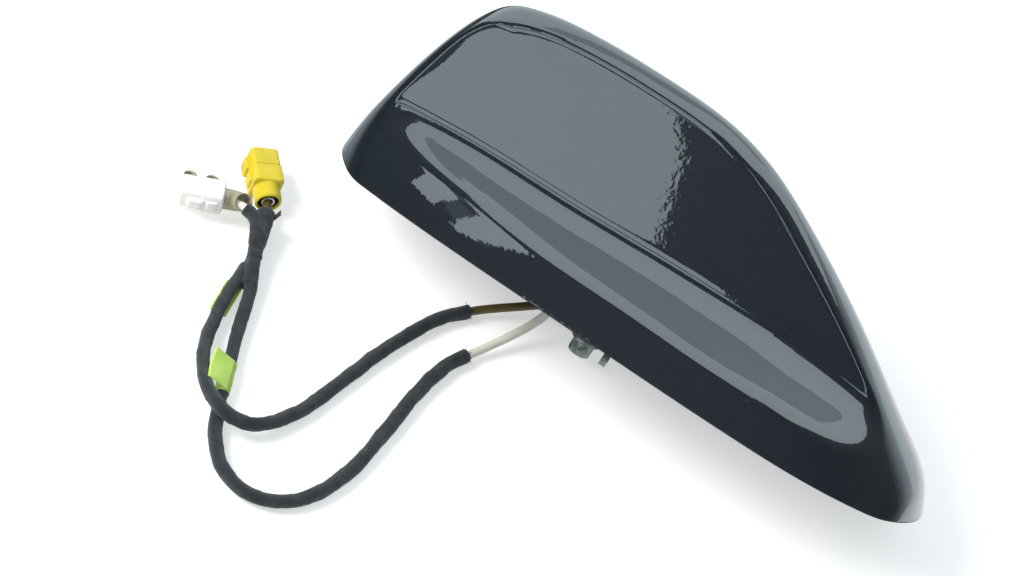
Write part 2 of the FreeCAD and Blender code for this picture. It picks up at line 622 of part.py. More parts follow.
poses = {name: connector_pose(*spot) for name, spot in CONNECTORS.items()}
for name, pose in poses.items():
    body = box(name + "_body", "Sizes.housing_length - Sizes.collar_length", "Sizes.housing_side",
               "Sizes.housing_side", "Sizes.collar_length", "-Sizes.housing_side / 2", "-Sizes.housing_side / 2")
    body = rounded(name + "_rounded", body, AHEAD, HOUSING_EDGE)
    collar = along_x(name + "_collar", "Sizes.collar_diameter", "0", "Sizes.collar_length")
    latch = box(name + "_latch", "Sizes.latch_length", "Sizes.latch_height", "Sizes.latch_width",
                "Sizes.latch_start", "Sizes.housing_side / 2", "-Sizes.latch_width / 2")
    bore = along_x(name + "_bore", "Sizes.bore_diameter", "0", "Sizes.housing_length")
    socket = along_x(name + "_socket", "Sizes.socket_diameter", "Sizes.housing_length - Sizes.socket_depth",
                     "Sizes.socket_depth")
    lock = box(name + "_bar", "Sizes.lock_width", "Sizes.lock_span", "Sizes.lock_depth", "Sizes.lock_start",
               "-Sizes.lock_span / 2", "Sizes.housing_side / 2 - Sizes.lock_depth")
    moulding = fuse(name + "_moulding", [body, collar, latch])
    keep(name + "_housing", cut(name + "_hollow", moulding, fuse(name + "_cuts", [bore, socket, lock])), pose)
    keep(name + "_lock", lock, pose)
    ferrule = along_x(name + "_tube", "Sizes.ferrule_diameter", "Sizes.ferrule_start",
                      "Sizes.contact_start - Sizes.ferrule_start")
    ferrule_bore = along_x(name + "_tube_bore", "Sizes.lead_diameter", "Sizes.ferrule_start",
                           "Sizes.contact_start - Sizes.ferrule_start")
    keep(name + "_ferrule", cut(name + "_crimp", ferrule, ferrule_bore), pose)
    disc = along_x(name + "_disc", "Sizes.bore_diameter", "Sizes.contact_start", "Sizes.contact_disc")
    barrel = along_x(name + "_barrel", "Sizes.barrel_diameter", "Sizes.contact_start",
                     "Sizes.barrel_end - Sizes.contact_start")
    barrel_bore = along_x(name + "_barrel_bore", "Sizes.barrel_bore", "Sizes.contact_start + Sizes.contact_disc",
                          "Sizes.barrel_end - Sizes.contact_start - Sizes.contact_disc")
    pin = along_x(name + "_pin", "Sizes.contact_pin", "Sizes.contact_start",
                  "Sizes.barrel_end - Sizes.contact_start")
    shield = cut(name + "_shield", fuse(name + "_turned", [disc, barrel]), barrel_bore)
    keep(name + "_contact", fuse(name + "_contacts", [shield, pin]), pose)


# Leads: from the board through the gland, down to the table and along it to the connectors

EXIT_DROP = 9.0        # how far below the roof plane a lead runs straight
YELLOW_APPROACH = 1.0  # where the brown lead comes into line, inside its connector
WHITE_APPROACH = 5.0   # where the cream lead comes into line, short of its connector
RUN_SHARE = 0.45       # share of the shorter run that an arc may take

# places on the table, chosen by hand
BROWN_ROUTE = [
    Vector(-29.5, -2.2, 4.6), Vector(-41.0, -11.3, 2.6), Vector(-49.5, -21.5, 2.2), Vector(-53.5, -30.5, 2.2),
    Vector(-59.3, -48.0, 2.2), Vector(-63.8, -66.5, 2.2), Vector(-68.5, -83.0, 2.4), Vector(-75.6, -95.5, 4.4),
    Vector(-83.0, -99.6, 7.2), Vector(-91.0, -96.8, 7.2), Vector(-98.3, -87.0, 4.2), Vector(-102.3, -76.0, 2.5),
    Vector(-105.6, -61.5, 2.5), Vector(-107.2, -46.5, 2.0), Vector(-111.34, -33.9, 4.87),
]
CREAM_ROUTE = [
    Vector(-26.5, -12.0, 4.8), Vector(-34.5, -26.0, 2.3), Vector(-40.0, -38.5, 2.2), Vector(-42.3, -55.0, 2.2),
    Vector(-43.8, -72.0, 2.2), Vector(-46.5, -91.0, 2.2), Vector(-53.5, -107.0, 2.2), Vector(-64.5, -114.2, 2.2),
    Vector(-75.5, -112.2, 2.2), Vector(-83.2, -104.5, 2.2), Vector(-88.2, -94.5, 2.5), Vector(-91.9, -84.2, 2.5),
    Vector(-97.0, -69.5, 2.5), Vector(-101.4, -55.5, 3.4), Vector(-107.2, -46.5, 5.4),
]


def own_spot(side, z):
    return lying.multVec(Vector(-size("gland_back"), size("gland_side") + side * size("lead_spacing") / 2, z))


board_low = size("plate_thickness") + size("post_height")
contact_start = size("contact_start")
routes = {
    "brown": [own_spot(1, board_low), own_spot(1, -EXIT_DROP)] + BROWN_ROUTE
    + [poses["yellow"].multVec(Vector(YELLOW_APPROACH, 0, 0)), poses["yellow"].multVec(Vector(contact_start, 0, 0))],
    "cream": [own_spot(-1, board_low), own_spot(-1, -EXIT_DROP)] + CREAM_ROUTE
    + [poses["white"].multVec(Vector(-WHITE_APPROACH, 0, 0)), poses["white"].multVec(Vector(contact_start, 0, 0))],
}


def rounded_path(name, points):
    """Straight runs joined by tangent arcs, each as large as its runs allow."""
    edges = []
    start = points[0]
    radii = []
    for before, corner, after in zip(points, points[1:], points[2:]):
        into = (corner - before).normalize()
        out = (after - corner).normalize()
        half_turn = into.getAngle(out) / 2
        take = RUN_SHARE * min((corner - before).Length, (after - corner).Length)
        radius = take / math.tan(half_turn)
        radii.append(round(radius, 1))
        enter = corner - into * take
        leave = corner + out * take
        to_centre = (out - into).normalize()
        centre = corner + to_centre * (radius / math.cos(half_turn))
        top = centre - to_centre * radius
        edges.append(Part.LineSegment(start, enter).toShape())
        edges.append(Part.Arc(enter, top, leave).toShape())
        start = leave
    edges.append(Part.LineSegment(start, points[-1]).toShape())
    print(name, "radii", radii, "length", round(sum(edge.Length for edge in edges), 1))
    return edges


def tube(name, edges, diameter):
    """A round tube along a path."""
    path = solid(name + "_path", Part.Wire(edges))
    section = doc.addObject("Part::Circle", name + "_section")
    bind(section, Radius="(%s) / 2" % diameter)
    start = edges[0].valueAt(edges[0].FirstParameter)
    section.Placement = Placement(start, Rotation(Vector(0, 0, 1), edges[0].tangentAt(edges[0].FirstParameter)))
    doc.recompute()
    thing = doc.addObject("Part::Sweep", name + "_tube")
    thing.Sections = [section]
    thing.Spine = (path, ["Edge%d" % (n + 1) for n in range(len(path.Shape.Edges))])
    thing.Solid = True
    doc.recompute()
    area = math.pi * section.Radius.Value ** 2
    print(name, "volume over section times length", round(thing.Shape.Volume / (area * path.Shape.Length), 4))
    return thing


def part_of_arc(arc, length):
    """The middle of an arc, of a given length."""
    middle_place = (arc.FirstParameter + arc.LastParameter) / 2
    reach = length / 2 / arc.Curve.Radius
    return arc.Curve.toShape(middle_place - reach, middle_place + reach)


def strip(name, length, width, height, corner, along, across):
    """A flat strip of tape from one corner."""
    thing = doc.addObject("Part::Box", name)
    bind(thing, Length=length, Width=width, Height=height)
    thing.Placement = Placement(corner, Rotation(along, across, along.cross(across), "XYZ"))
    return thing


# first and last run under each tape, counted along the route from the board
SLEEVED_RUNS = {"brown": (3, 14), "cream": (3, 14)}
paths = {name: rounded_path(name, points) for name, points in routes.items()}
leads = {}
sleeves = {}
for name, edges in paths.items():
    leads[name] = keep(name + "_lead", tube(name + "_lead", edges, "Sizes.lead_diameter"), TABLE)
    first_run, last_run = SLEEVED_RUNS[name]
    sleeves[name] = tube(name + "_sleeve", edges[2 * first_run:2 * last_run + 1], "Sizes.sleeve_diameter")
    keep(name + "_sleeve", cut(name + "_wrapped", sleeves[name], leads[name]), TABLE)

# green tape: a ring with a flag on the cream lead, and a tab on the table under the brown lead
FLAG_CORNER_INDEX = 13
FLAG_TILT = math.radians(30)
TAB_RUN_INDEX = 13
flag_path = part_of_arc(paths["cream"][2 * FLAG_CORNER_INDEX - 1], size("flag_length"))
ring = tube("flag_ring", [flag_path], "Sizes.sleeve_diameter + 2 * Sizes.tape_thickness")
along = flag_path.tangentAt((flag_path.FirstParameter + flag_path.LastParameter) / 2)
left = UP.cross(along).normalize()
across = left * math.cos(FLAG_TILT) + along.cross(left) * math.sin(FLAG_TILT)
ring_top = flag_path.CenterOfMass + along.cross(across) * (size("sleeve_diameter") / 2)
flag = strip("flag_strip", "Sizes.flag_length", "Sizes.flag_width", "Sizes.tape_thickness",
             ring_top - along * (size("flag_length") / 2), along, across)
keep("green_flag", cut("flag_wrapped", fuse("flag_taped", [ring, flag]), sleeves["cream"]), TABLE)
tab_line = paths["brown"][2 * TAB_RUN_INDEX]
along = tab_line.tangentAt(tab_line.FirstParameter)
along.z = 0
along.normalize()
left = UP.cross(along)
tab_corner = tab_line.CenterOfMass - along * (size("flag_length") / 2) - left * (size("tab_width") / 2)
tab_corner.z = 0
keep("green_tab", strip("tab_strip", "Sizes.flag_length", "Sizes.tab_width", "Sizes.tape_thickness",
                        tab_corner, along, left), TABLE)

bundle_run = routes["cream"][-2] - routes["cream"][-3]
bundle_rod = doc.addObject("Part::Cylinder", "bundle_rod")
bind(bundle_rod, Radius="Sizes.bundle_diameter / 2", Height="Sizes.bundle_length")
between = (routes["cream"][-3] + routes["brown"][-4]) / 2
bundle_rod.Placement = Placement(between, Rotation(Vector(0, 0, 1), bundle_run))
bundle_half = cut("bundle_half", bundle_rod, leads["brown"])
keep("bundle_sleeve", cut("bundle_wrapped", bundle_half, leads["cream"]), TABLE)


# Check everything, then write one file for each sub-part

doc.recompute()
for thing in doc.Objects:
    if "Invalid" in thing.State or "Error" in thing.State:
        raise RuntimeError("failed: " + thing.Name)
os.makedirs("parts", exist_ok=True)
for label, (thing, pose) in pieces.items():
    shape = laid(thing.Shape, lying if pose == FIN else pose)
    if shape.isNull() or not shape.isValid():
        raise RuntimeError("bad shape: " + label)
    shape.exportStep("parts/%s.step" % label)
    print(label, "solids", len(shape.Solids), "volume", round(shape.Volume, 1))
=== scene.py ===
import json
import math

import bmesh
import bpy
import numpy as np
from mathutils import Matrix, Vector, noise


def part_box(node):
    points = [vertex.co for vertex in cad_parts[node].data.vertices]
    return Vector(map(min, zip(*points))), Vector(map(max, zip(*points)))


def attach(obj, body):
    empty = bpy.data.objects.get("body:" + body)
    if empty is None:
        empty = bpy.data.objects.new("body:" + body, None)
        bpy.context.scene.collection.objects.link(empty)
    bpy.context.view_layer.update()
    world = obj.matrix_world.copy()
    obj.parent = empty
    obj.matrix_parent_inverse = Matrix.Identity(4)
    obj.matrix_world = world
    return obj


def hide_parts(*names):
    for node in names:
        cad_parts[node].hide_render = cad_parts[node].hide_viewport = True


# Gloss roof fin antenna, lying on its bolt head and far rim, with two taped leads and their connectors.
# Lengths are in metres; where a piece is drawn in millimetres it says so.

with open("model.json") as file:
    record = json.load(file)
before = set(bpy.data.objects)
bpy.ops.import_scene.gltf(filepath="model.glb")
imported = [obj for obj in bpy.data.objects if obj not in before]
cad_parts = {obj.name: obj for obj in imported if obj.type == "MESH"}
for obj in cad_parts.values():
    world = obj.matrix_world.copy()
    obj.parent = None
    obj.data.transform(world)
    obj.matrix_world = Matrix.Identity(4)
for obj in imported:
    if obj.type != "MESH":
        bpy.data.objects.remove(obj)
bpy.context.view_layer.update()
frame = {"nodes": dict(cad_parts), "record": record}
nodes = frame["nodes"]
MM = 0.001


# Shader tools

def shader_group(name, inputs, outputs):
    """An empty node group with named number inputs and named outputs."""
    group = bpy.data.node_groups.new(name, "ShaderNodeTree")
    for label, value in inputs.items():
        socket = group.interface.new_socket(label, in_out="INPUT", socket_type="NodeSocketFloat")
        socket.default_value = value
    for label, kind in outputs.items():
        group.interface.new_socket(label, in_out="OUTPUT", socket_type="NodeSocket" + kind)
    enter = group.nodes.new("NodeGroupInput")
    leave = group.nodes.new("NodeGroupOutput")
    return group, enter, leave


def add(tree, kind, values=None, **settings):
    """A node with its settings and the values or links of its inputs."""
    node = tree.nodes.new("ShaderNode" + kind)
    for name, value in settings.items():
        setattr(node, name, value)
    for key, value in (values or {}).items():
        socket = node.inputs[key]
        if isinstance(value, bpy.types.NodeSocket):
            tree.links.new(value, socket)
        else:
            socket.default_value = value
    return node


def use(tree, group, **values):
    """A node that places a group; underscores in the names stand for spaces."""
    node = tree.nodes.new("ShaderNodeGroup")
    node.node_tree = group
    for key, value in values.items():
        node.inputs[key.replace("_", " ")].default_value = value
    return node


def ramp(tree, factor, stops):
    """A colour that changes evenly between stops, each a place and a colour."""
    node = add(tree, "ValToRGB", {"Fac": factor})
    node.color_ramp.interpolation = "LINEAR"
    while len(node.color_ramp.elements) < len(stops):
        node.color_ramp.elements.new(0.5)
    for element, (place, colour) in zip(node.color_ramp.elements, stops):
        element.position = place
        element.color = (*colour, 1.0)
    return node.outputs["Color"]


def finish_material(name, roughness, metallic=0.0, **values):
    """A material with a Principled shader; further values go to its sockets."""
    made = bpy.data.materials.new(name)
    made.use_nodes = True
    shader = made.node_tree.nodes["Principled BSDF"]
    shader.inputs["Roughness"].default_value = roughness
    shader.inputs["Metallic"].default_value = metallic
    for key, value in values.items():
        shader.inputs[key.replace("_", " ")].default_value = value
    return made, made.node_tree, shader


def bump(tree, shader, height, distance):
    """Relief from a height; distance is how far a height of one stands out."""
    node = add(tree, "Bump", {"Height": height, "Distance": distance, "Strength": 1.0})
    tree.links.new(node.outputs["Normal"], shader.inputs["Normal"])


# Shared surface effects

def make_grain():
    """Fine moulded or cast grain: a height, and a mask for slightly darker or rougher spots."""
    group, enter, leave = shader_group(
        "moulded_grain", {"Grain per metre": 2500.0, "Spots per metre": 120.0},
        {"Height": "Float", "Spots": "Float"})
    place = add(group, "TexCoord").outputs["Object"]
    grain_scale = enter.outputs["Grain per metre"]
    spot_scale = enter.outputs["Spots per metre"]
    grain = add(group, "TexNoise", {"Vector": place, "Scale": grain_scale, "Detail": 3.0})
    spots = add(group, "TexNoise", {"Vector": place, "Scale": spot_scale, "Detail": 4.0})
    clear = add(group, "MapRange", {"Value": spots.outputs["Fac"], "From Min": 0.35, "From Max": 0.7})
    group.links.new(grain.outputs["Fac"], leave.inputs["Height"])
    group.links.new(clear.outputs["Result"], leave.inputs["Spots"])
    return group


def make_weave():
    """Woven textile threads laid out on the tape's own length and width."""
    group, enter, leave = shader_group(
        "woven_threads", {"Thread width": 0.0006, "Slant": 0.35}, {"Height": "Float", "Wear": "Float"})
    place = add(group, "UVMap").outputs["UV"]
    apart = add(group, "SeparateXYZ", {"Vector": place})
    slanted = add(group, "Math", {0: apart.outputs["Y"], 1: enter.outputs["Slant"], 2: apart.outputs["X"]},
                  operation="MULTIPLY_ADD")
    waves = []
    for value in (slanted.outputs[0], apart.outputs["Y"]):
        turns = add(group, "Math", {0: value, 1: enter.outputs["Thread width"]}, operation="DIVIDE")
        angle = add(group, "Math", {0: turns.outputs[0], 1: math.pi}, operation="MULTIPLY")
        wave = add(group, "Math", {0: angle.outputs[0]}, operation="SINE")
        waves.append(add(group, "Math", {0: wave.outputs[0]}, operation="ABSOLUTE").outputs[0])
    height = add(group, "Math", {0: waves[0], 1: waves[1]}, operation="MAXIMUM")
    body_place = add(group, "TexCoord").outputs["Object"]
    stain = add(group, "TexNoise", {"Vector": body_place, "Scale": 260.0, "Detail": 5.0})
    group.links.new(height.outputs[0], leave.inputs["Height"])
    group.links.new(stain.outputs["Fac"], leave.inputs["Wear"])
    return group


GRAIN = make_grain()
WEAVE = make_weave()
FINE_GRAIN = 0.00001


def grain_finish(tree, shader, grain, dark, light, rough_ends, height):
    """Colour, roughness and bump that follow a placed grain group."""
    colour = ramp(tree, grain.outputs["Spots"], [(0.0, dark), (1.0, light)])
    tree.links.new(colour, shader.inputs["Base Color"])
    low, high = rough_ends
    rough = add(tree, "MapRange", {"Value": grain.outputs["Spots"], "To Min": low, "To Max": high})
    tree.links.new(rough.outputs["Result"], shader.inputs["Roughness"])
    bump(tree, shader, grain.outputs["Height"], height)


def moulded(name, dark, light, roughness, grain_per_metre=2500.0, grain_height=FINE_GRAIN, **values):
    """Plastic, rubber or foam with a fine grain and a slight change of colour."""
    made, tree, shader = finish_material(name, roughness, **values)
    grain = use(tree, GRAIN, Grain_per_metre=grain_per_metre)
    rough_ends = (roughness - 0.06, roughness + 0.1)
    grain_finish(tree, shader, grain, dark, light, rough_ends, grain_height)
    return made


def metal(name, dark, light, roughness, grain_per_metre=900.0):
    """Plated or cast metal with a cloudy finish."""
    made, tree, shader = finish_material(name, roughness, metallic=1.0)
    grain = use(tree, GRAIN, Grain_per_metre=grain_per_metre, Spots_per_metre=350.0)
    rough_ends = (roughness + 0.12, roughness - 0.05)
    grain_finish(tree, shader, grain, dark, light, rough_ends, FINE_GRAIN)
    return made


def make_fin_paint():
    """Gloss dark navy paint with fine flake, a little orange peel and an uneven base."""
    made, tree, shader = finish_material(
        "fin_paint", 0.32, Coat_Weight=1.0, Coat_Roughness=0.02, Coat_IOR=2.1, IOR=1.4)
    place = add(tree, "TexCoord").outputs["Object"]
    flake = add(tree, "TexNoise", {"Vector": place, "Scale": 1800.0, "Detail": 2.0})
    colour = ramp(tree, flake.outputs["Fac"], [(0.3, (0.003, 0.005, 0.008)), (0.75, (0.009, 0.013, 0.019))])
    tree.links.new(colour, shader.inputs["Base Color"])
    cloud = add(tree, "TexNoise", {"Vector": place, "Scale": 90.0, "Detail": 5.0})
    rough = add(tree, "MapRange", {"Value": cloud.outputs["Fac"], "To Min": 0.26, "To Max": 0.42})
    tree.links.new(rough.outputs["Result"], shader.inputs["Roughness"])
    peel = add(tree, "TexNoise", {"Vector": place, "Scale": 480.0, "Detail": 2.0})
    bump(tree, shader, peel.outputs["Fac"], 0.000009)
    tree.links.new(shader.inputs["Normal"].links[0].from_socket, shader.inputs["Coat Normal"])
    return made


def make_tape(name, dark, light, thread_height):
    """Woven tape with a soft sheen."""
    made, tree, shader = finish_material(name, 0.8, Sheen_Weight=0.25, Sheen_Roughness=0.5)
    weave = use(tree, WEAVE)
    colour = ramp(tree, weave.outputs["Wear"], [(0.3, dark), (0.75, light)])
    tree.links.new(colour, shader.inputs["Base Color"])
    bump(tree, shader, weave.outputs["Height"], thread_height)
    return made


FIN_PAINT = make_fin_paint()
TAPE = make_tape("textile_tape", (0.012, 0.016, 0.018), (0.034, 0.040, 0.043), 0.0002)
GREEN = make_tape("green_tape", (0.56, 0.81, 0.10), (0.66, 0.87, 0.22), 0.00002)
BASE_PLASTIC = moulded("base_plastic", (0.03, 0.03, 0.033), (0.055, 0.055, 0.06), 0.55)
RUBBER = moulded("seal_rubber", (0.012, 0.012, 0.013), (0.022, 0.022, 0.024), 0.7)
FOAM = moulded("pad_foam", (0.03, 0.03, 0.033), (0.07, 0.07, 0.075), 0.9, 900.0, 0.0001)
DIE_CAST = metal("die_cast", (0.42, 0.43, 0.44), (0.6, 0.61, 0.62), 0.45)
# dark green-grey plating, made darker still as painted shade for the bolt and claws that lie under the fin
SHADED_ZINC = metal("zinc_steel", (0.05, 0.065, 0.06), (0.22, 0.25, 0.24), 0.3)
TIN = metal("tin_plate", (0.5, 0.49, 0.46), (0.68, 0.67, 0.64), 0.35)
CONTACT = metal("contact_metal", (0.55, 0.42, 0.2), (0.78, 0.62, 0.32), 0.3)
BOARD = moulded("board_resin", (0.02, 0.12, 0.06), (0.035, 0.19, 0.09), 0.35)
PATCH = moulded("patch_ceramic", (0.62, 0.58, 0.48), (0.74, 0.7, 0.6), 0.6)
BROWN = moulded("brown_jacket", (0.085, 0.064, 0.018), (0.135, 0.10, 0.032), 0.42, 1500.0)
CREAM = moulded("cream_jacket", (0.79, 0.73, 0.61), (0.88, 0.83, 0.72), 0.42, 1500.0)
YELLOW = moulded("yellow_plastic", (0.70, 0.53, 0.02), (0.78, 0.61, 0.035), 0.42, 1800.0)
WHITE = moulded("white_plastic", (0.90, 0.86, 0.80), (0.95, 0.92, 0.87), 0.42, 1800.0)
# dark beige: painted shade, white plastic as it looks in shadow, used on the white connector's hooks and boot
SHADE_BEIGE = moulded("shade_beige_plastic", (0.30, 0.26, 0.16), (0.42, 0.37, 0.25), 0.5, 1800.0)


# Mesh tools

def mesh_piece(name, points, faces, finish, smooth=True):
    """A mesh object with one finish."""
    mesh = bpy.data.meshes.new(name)
    mesh.from_pydata([tuple(p) for p in points], [], faces)
    mesh.materials.append(finish)
    if smooth:
        mesh.shade_smooth()
    piece = bpy.data.objects.new(name, mesh)
    bpy.context.collection.objects.link(piece)
    return piece


def settle(piece, slot, *replaced):
    """The piece rides on the antenna and stands for the named nodes."""
    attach(piece, "root")
    if replaced:
        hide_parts(*replaced)


def grid_faces(rows, columns, closed):
    """Quads between rows of points; a closed row joins its last point to its first."""
    faces = []
    for r in range(rows - 1):
        for c in range(columns if closed else columns - 1):
            d = (c + 1) % columns
            faces.append((r * columns + c, r * columns + d, (r + 1) * columns + d, (r + 1) * columns + c))
    return faces


# Fin cover, in millimetres in the car's frame: x to the nose, z up, origin on the clamp bolt at the roof

FIN_LENGTH = 204.0
FIN_HEIGHT = 68.5
RIM_HALF_WIDTH = 39.2
TAIL_X = -92.0
SKIRT_LEAN = 0.7
SKIRT_DEPTH = 36.0
TAIL_EDGE_RADIUS = 36.0
RIDGE_EDGE_RADIUS = 4.2
NOSE_EDGE_RADIUS = 33.0
FLANK_TOP_HALF = 5.8
FLANK_LEAN = 0.148
SHELF_HALF_WIDTH = 31.0
SHELF_SLOPE = 0.386
FILLET_REACH = 20.0
CREASE_REACH = 1.0
LIP_REACH = 8.0
HULL_REACH = 4.0
EDGE_SPREAD = 0.5
# the lip softens below this height
CRISP_HEIGHT = 30.0
# the tail's edge sharpens over these shares of the height and ends at this share of the length
SHARP_FROM = 0.67
SHARP_OVER = 0.26
TAIL_PART = 0.118
# the nose's edge grows rounder from this share of the length
NOSE_FROM = 0.5
# the rim turns in by the wall and more, and rises by a share of the shell's height there
COVER_WALL = 2.4
TURN_IN = 1.5
TURN_UP = 4.0
LIP_SHARE = 0.35
FOOT_LEAST = 0.2
INNER_LEAST = 0.1
# rubber line under the rim
RIM_LINE = 0.5
RIM_LINE_INSET = 0.35
RIM_LINE_REACH = 5.0
RIM_LINE_BITE = 0.05
RIM_LINE_LEAST = 0.05
# side view: share of the length from the tail, share of the height
PROFILE = [
    (0.0, 0.0), (0.006, 0.146), (0.020, 0.340), (0.046, 0.606), (0.0765, 0.810), (0.100, 0.896),
    (0.137, 0.946), (0.230, 0.990), (0.353, 1.0), (0.461, 0.981), (0.539, 0.921), (0.623, 0.806),
    (0.788, 0.519), (0.917, 0.258), (0.977, 0.114), (1.0, 0.0),
]
# rim seen from above: share of the length, share of the half width
PLAN = [
    (0.0, 0.612), (0.108, 0.745), (0.304, 0.867), (0.4755, 0.936), (0.696, 1.0), (0.8186, 0.985), (1.0, 0.90),
]
# shelf's height at its lip: share of the length, millimetres
SHELF_LINE = [
    (0.0, 9.0), (0.10, 10.6), (0.18, 11.4), (0.33, 11.6), (0.47, 12.4), (0.60, 12.9), (0.74, 12.9),
    (0.86, 10.5), (1.0, 7.5),
]
OUTLINE_STEPS = 900
NEAREST_BATCH = 2000
RIBS = 240
RIB_SAMPLES = 220
RIB_POINTS = 130
# ribs start and end at this height of the outline and lie closer together at the ends
LOWEST_TOP = 0.8
EVEN_PART = 0.7
EASED_PART = 0.15
FIN_SHARP_ANGLE = math.radians(50)


def smooth_line(points, steps):
    """Points along a smooth curve through the given points, spaced by chord length."""
    points = np.array(points, float)
    knots = np.concatenate([[0.0], np.cumsum(np.linalg.norm(np.diff(points, axis=0), axis=1))])
    gaps = np.diff(knots)
    count = len(points)
    bend = np.eye(count)
    right = np.zeros_like(points)
    for i in range(1, count - 1):
        bend[i, i - 1:i + 2] = gaps[i - 1], 2 * (gaps[i - 1] + gaps[i]), gaps[i]
        right[i] = 6 * ((points[i + 1] - points[i]) / gaps[i] - (points[i] - points[i - 1]) / gaps[i - 1])
    curve = np.linalg.solve(bend, right)
    places = np.linspace(0.0, knots[-1], steps)
    i = np.clip(np.searchsorted(knots, places) - 1, 0, count - 2)
    h = gaps[i][:, None]
    a = ((knots[i + 1] - places) / gaps[i])[:, None]
    b = 1 - a
    bow = (a ** 3 - a) * curve[i] + (b ** 3 - b) * curve[i + 1]
    return a * points[i] + b * points[i + 1] + bow * h * h / 6


def ease(share):
    """Nought to one with a soft start and end."""
    share = np.clip(share, 0.0, 1.0)
    return share * share * (3 - 2 * share)


def soft_least(a, b, reach):
    """The lesser of two values, rounded where they come within reach of each other."""
    overlap = np.maximum(reach - np.abs(a - b), 0.0) / reach
    return np.minimum(a, b) - overlap * overlap * reach / 4


outline = smooth_line([(TAIL_X + u * FIN_LENGTH, v * FIN_HEIGHT) for u, v in PROFILE], OUTLINE_STEPS)
shelf_line = smooth_line([(TAIL_X + u * FIN_LENGTH, height) for u, height in SHELF_LINE], OUTLINE_STEPS)
plan_line = smooth_line([(TAIL_X + u * FIN_LENGTH, v * RIM_HALF_WIDTH) for u, v in PLAN], OUTLINE_STEPS)


def nearest_on_outline(spots):
    """The nearest point of the side view's outline to each spot."""
    best = np.empty_like(spots)
    for start in range(0, len(spots), NEAREST_BATCH):
        part = spots[start:start + NEAREST_BATCH]
        middle = np.argmin(((part[:, None, :] - outline[None, :, :]) ** 2).sum(axis=2), axis=1)
        least = np.full(len(part), np.inf)
        for step in (-1, 0):
            low = outline[np.clip(middle + step, 0, OUTLINE_STEPS - 2)]
            high = outline[np.clip(middle + step, 0, OUTLINE_STEPS - 2) + 1]
            along = high - low
            share = np.clip(((part - low) * along).sum(axis=1) / (along * along).sum(axis=1), 0.0, 1.0)
            foot = low + along * share[:, None]
            distance = np.linalg.norm(part - foot, axis=1)
            closer = distance < least
            least = np.where(closer, distance, least)
            best[start:start + NEAREST_BATCH][closer] = foot[closer]
    return best


def half_width(spots):
    """Half the fin's width at places of the side view, each an x and a z."""
    x, z = spots[:, 0], spots[:, 1]
    edge = nearest_on_outline(spots)
    inward = np.linalg.norm(spots - edge, axis=1)
    share = (edge[:, 0] - TAIL_X) / FIN_LENGTH
    sharp = ease((edge[:, 1] / FIN_HEIGHT - SHARP_FROM) / SHARP_OVER)
    at_tail = TAIL_EDGE_RADIUS * (1 - sharp) + RIDGE_EDGE_RADIUS * sharp
    to_nose = np.maximum((share - NOSE_FROM) / (1 - NOSE_FROM), 0.0)
    at_nose = RIDGE_EDGE_RADIUS + (NOSE_EDGE_RADIUS - RIDGE_EDGE_RADIUS) * to_nose ** 2
    radius = np.where(share < TAIL_PART, at_tail, at_nose)
    rounded = np.sqrt(2 * radius * inward + EDGE_SPREAD * inward ** 2)
    lean = SKIRT_LEAN * SKIRT_DEPTH * (1 - np.exp(-z / SKIRT_DEPTH))
    side = np.interp(x, plan_line[:, 0], plan_line[:, 1]) - lean
    hull = soft_least(side, rounded, HULL_REACH)
    flank = FLANK_TOP_HALF + (FIN_HEIGHT - z) * FLANK_LEAN
    shelf = SHELF_HALF_WIDTH - (z - np.interp(x, shelf_line[:, 0], shelf_line[:, 1])) / SHELF_SLOPE
    scoop = -soft_least(-flank, -shelf, FILLET_REACH)
    crisp = ease(z / CRISP_HEIGHT)
    reach = LIP_REACH * (1 - crisp) + CREASE_REACH * crisp
    return np.maximum(soft_least(hull, scoop, reach), 0.0)


def fin_rib(top, foot):
    """Evenly spaced points from the ridge to the rim on one side, then round the rim to the inside."""
    shares = (np.arange(RIB_SAMPLES + 1) / RIB_SAMPLES) ** 2
    spots = top + (foot - top) * shares[:, None]
    width = half_width(spots)
    width[0] = 0.0
    line = np.column_stack([spots[:, 0], width, spots[:, 1]])
    lengths = np.concatenate([[0.0], np.cumsum(np.linalg.norm(np.diff(line, axis=0), axis=1))])
    places = np.linspace(0.0, lengths[-1], RIB_POINTS)
    even = np.column_stack([np.interp(places, lengths, line[:, k]) for k in range(3)])
    x, y = even[-1, :2]
    inner = max(y - COVER_WALL - TURN_IN, INNER_LEAST)
    inside = min(TURN_UP, LIP_SHARE * np.interp(inner, even[:, 1], even[:, 2]))
    lip = [(x, max(y - COVER_WALL, FOOT_LEAST), 0.0), (x, inner, inside)]
    return np.vstack([even, lip])


def fin_rows():
    """Ribs across the fin from tail to nose, each from one rim over the ridge to the other."""
    steps = np.linalg.norm(np.diff(outline, axis=0), axis=1)
    along = np.concatenate([[0.0], np.cumsum(steps)]) / steps.sum()
    first = along[np.argmax(outline[:, 1] > LOWEST_TOP)]
    last = along[len(outline) - 1 - np.argmax(outline[::-1, 1] > LOWEST_TOP)]
    rows = []
    for k in range(RIBS + 1):
        even = k / RIBS
        eased = 1 - math.cos(math.pi * even)
        share = first + (last - first) * (EVEN_PART * even + EASED_PART * eased)
        top = np.array([np.interp(share, along, outline[:, i]) for i in (0, 1)])
        foot = np.array([TAIL_X + FIN_LENGTH * share, 0.0])
        half = fin_rib(top, foot)
        other = half[:0:-1] * (1, -1, 1)
        rows.append(np.vstack([other, half]))
    return rows


def make_fin_shell(rows):
    """The painted skin, closed at the tail and the nose."""
    columns = len(rows[0])
    faces = grid_faces(len(rows), columns, False)
    faces.append(tuple(reversed(range(columns))))
    faces.append(tuple(range((len(rows) - 1) * columns, len(rows) * columns)))
    faces = [face[::-1] for face in faces]
    piece = mesh_piece("fin_shell", lay_down(np.vstack(rows)), faces, FIN_PAINT)
    piece.data.set_sharp_from_angle(angle=FIN_SHARP_ANGLE)
    settle(piece, "fin_paint", "fin_cover")


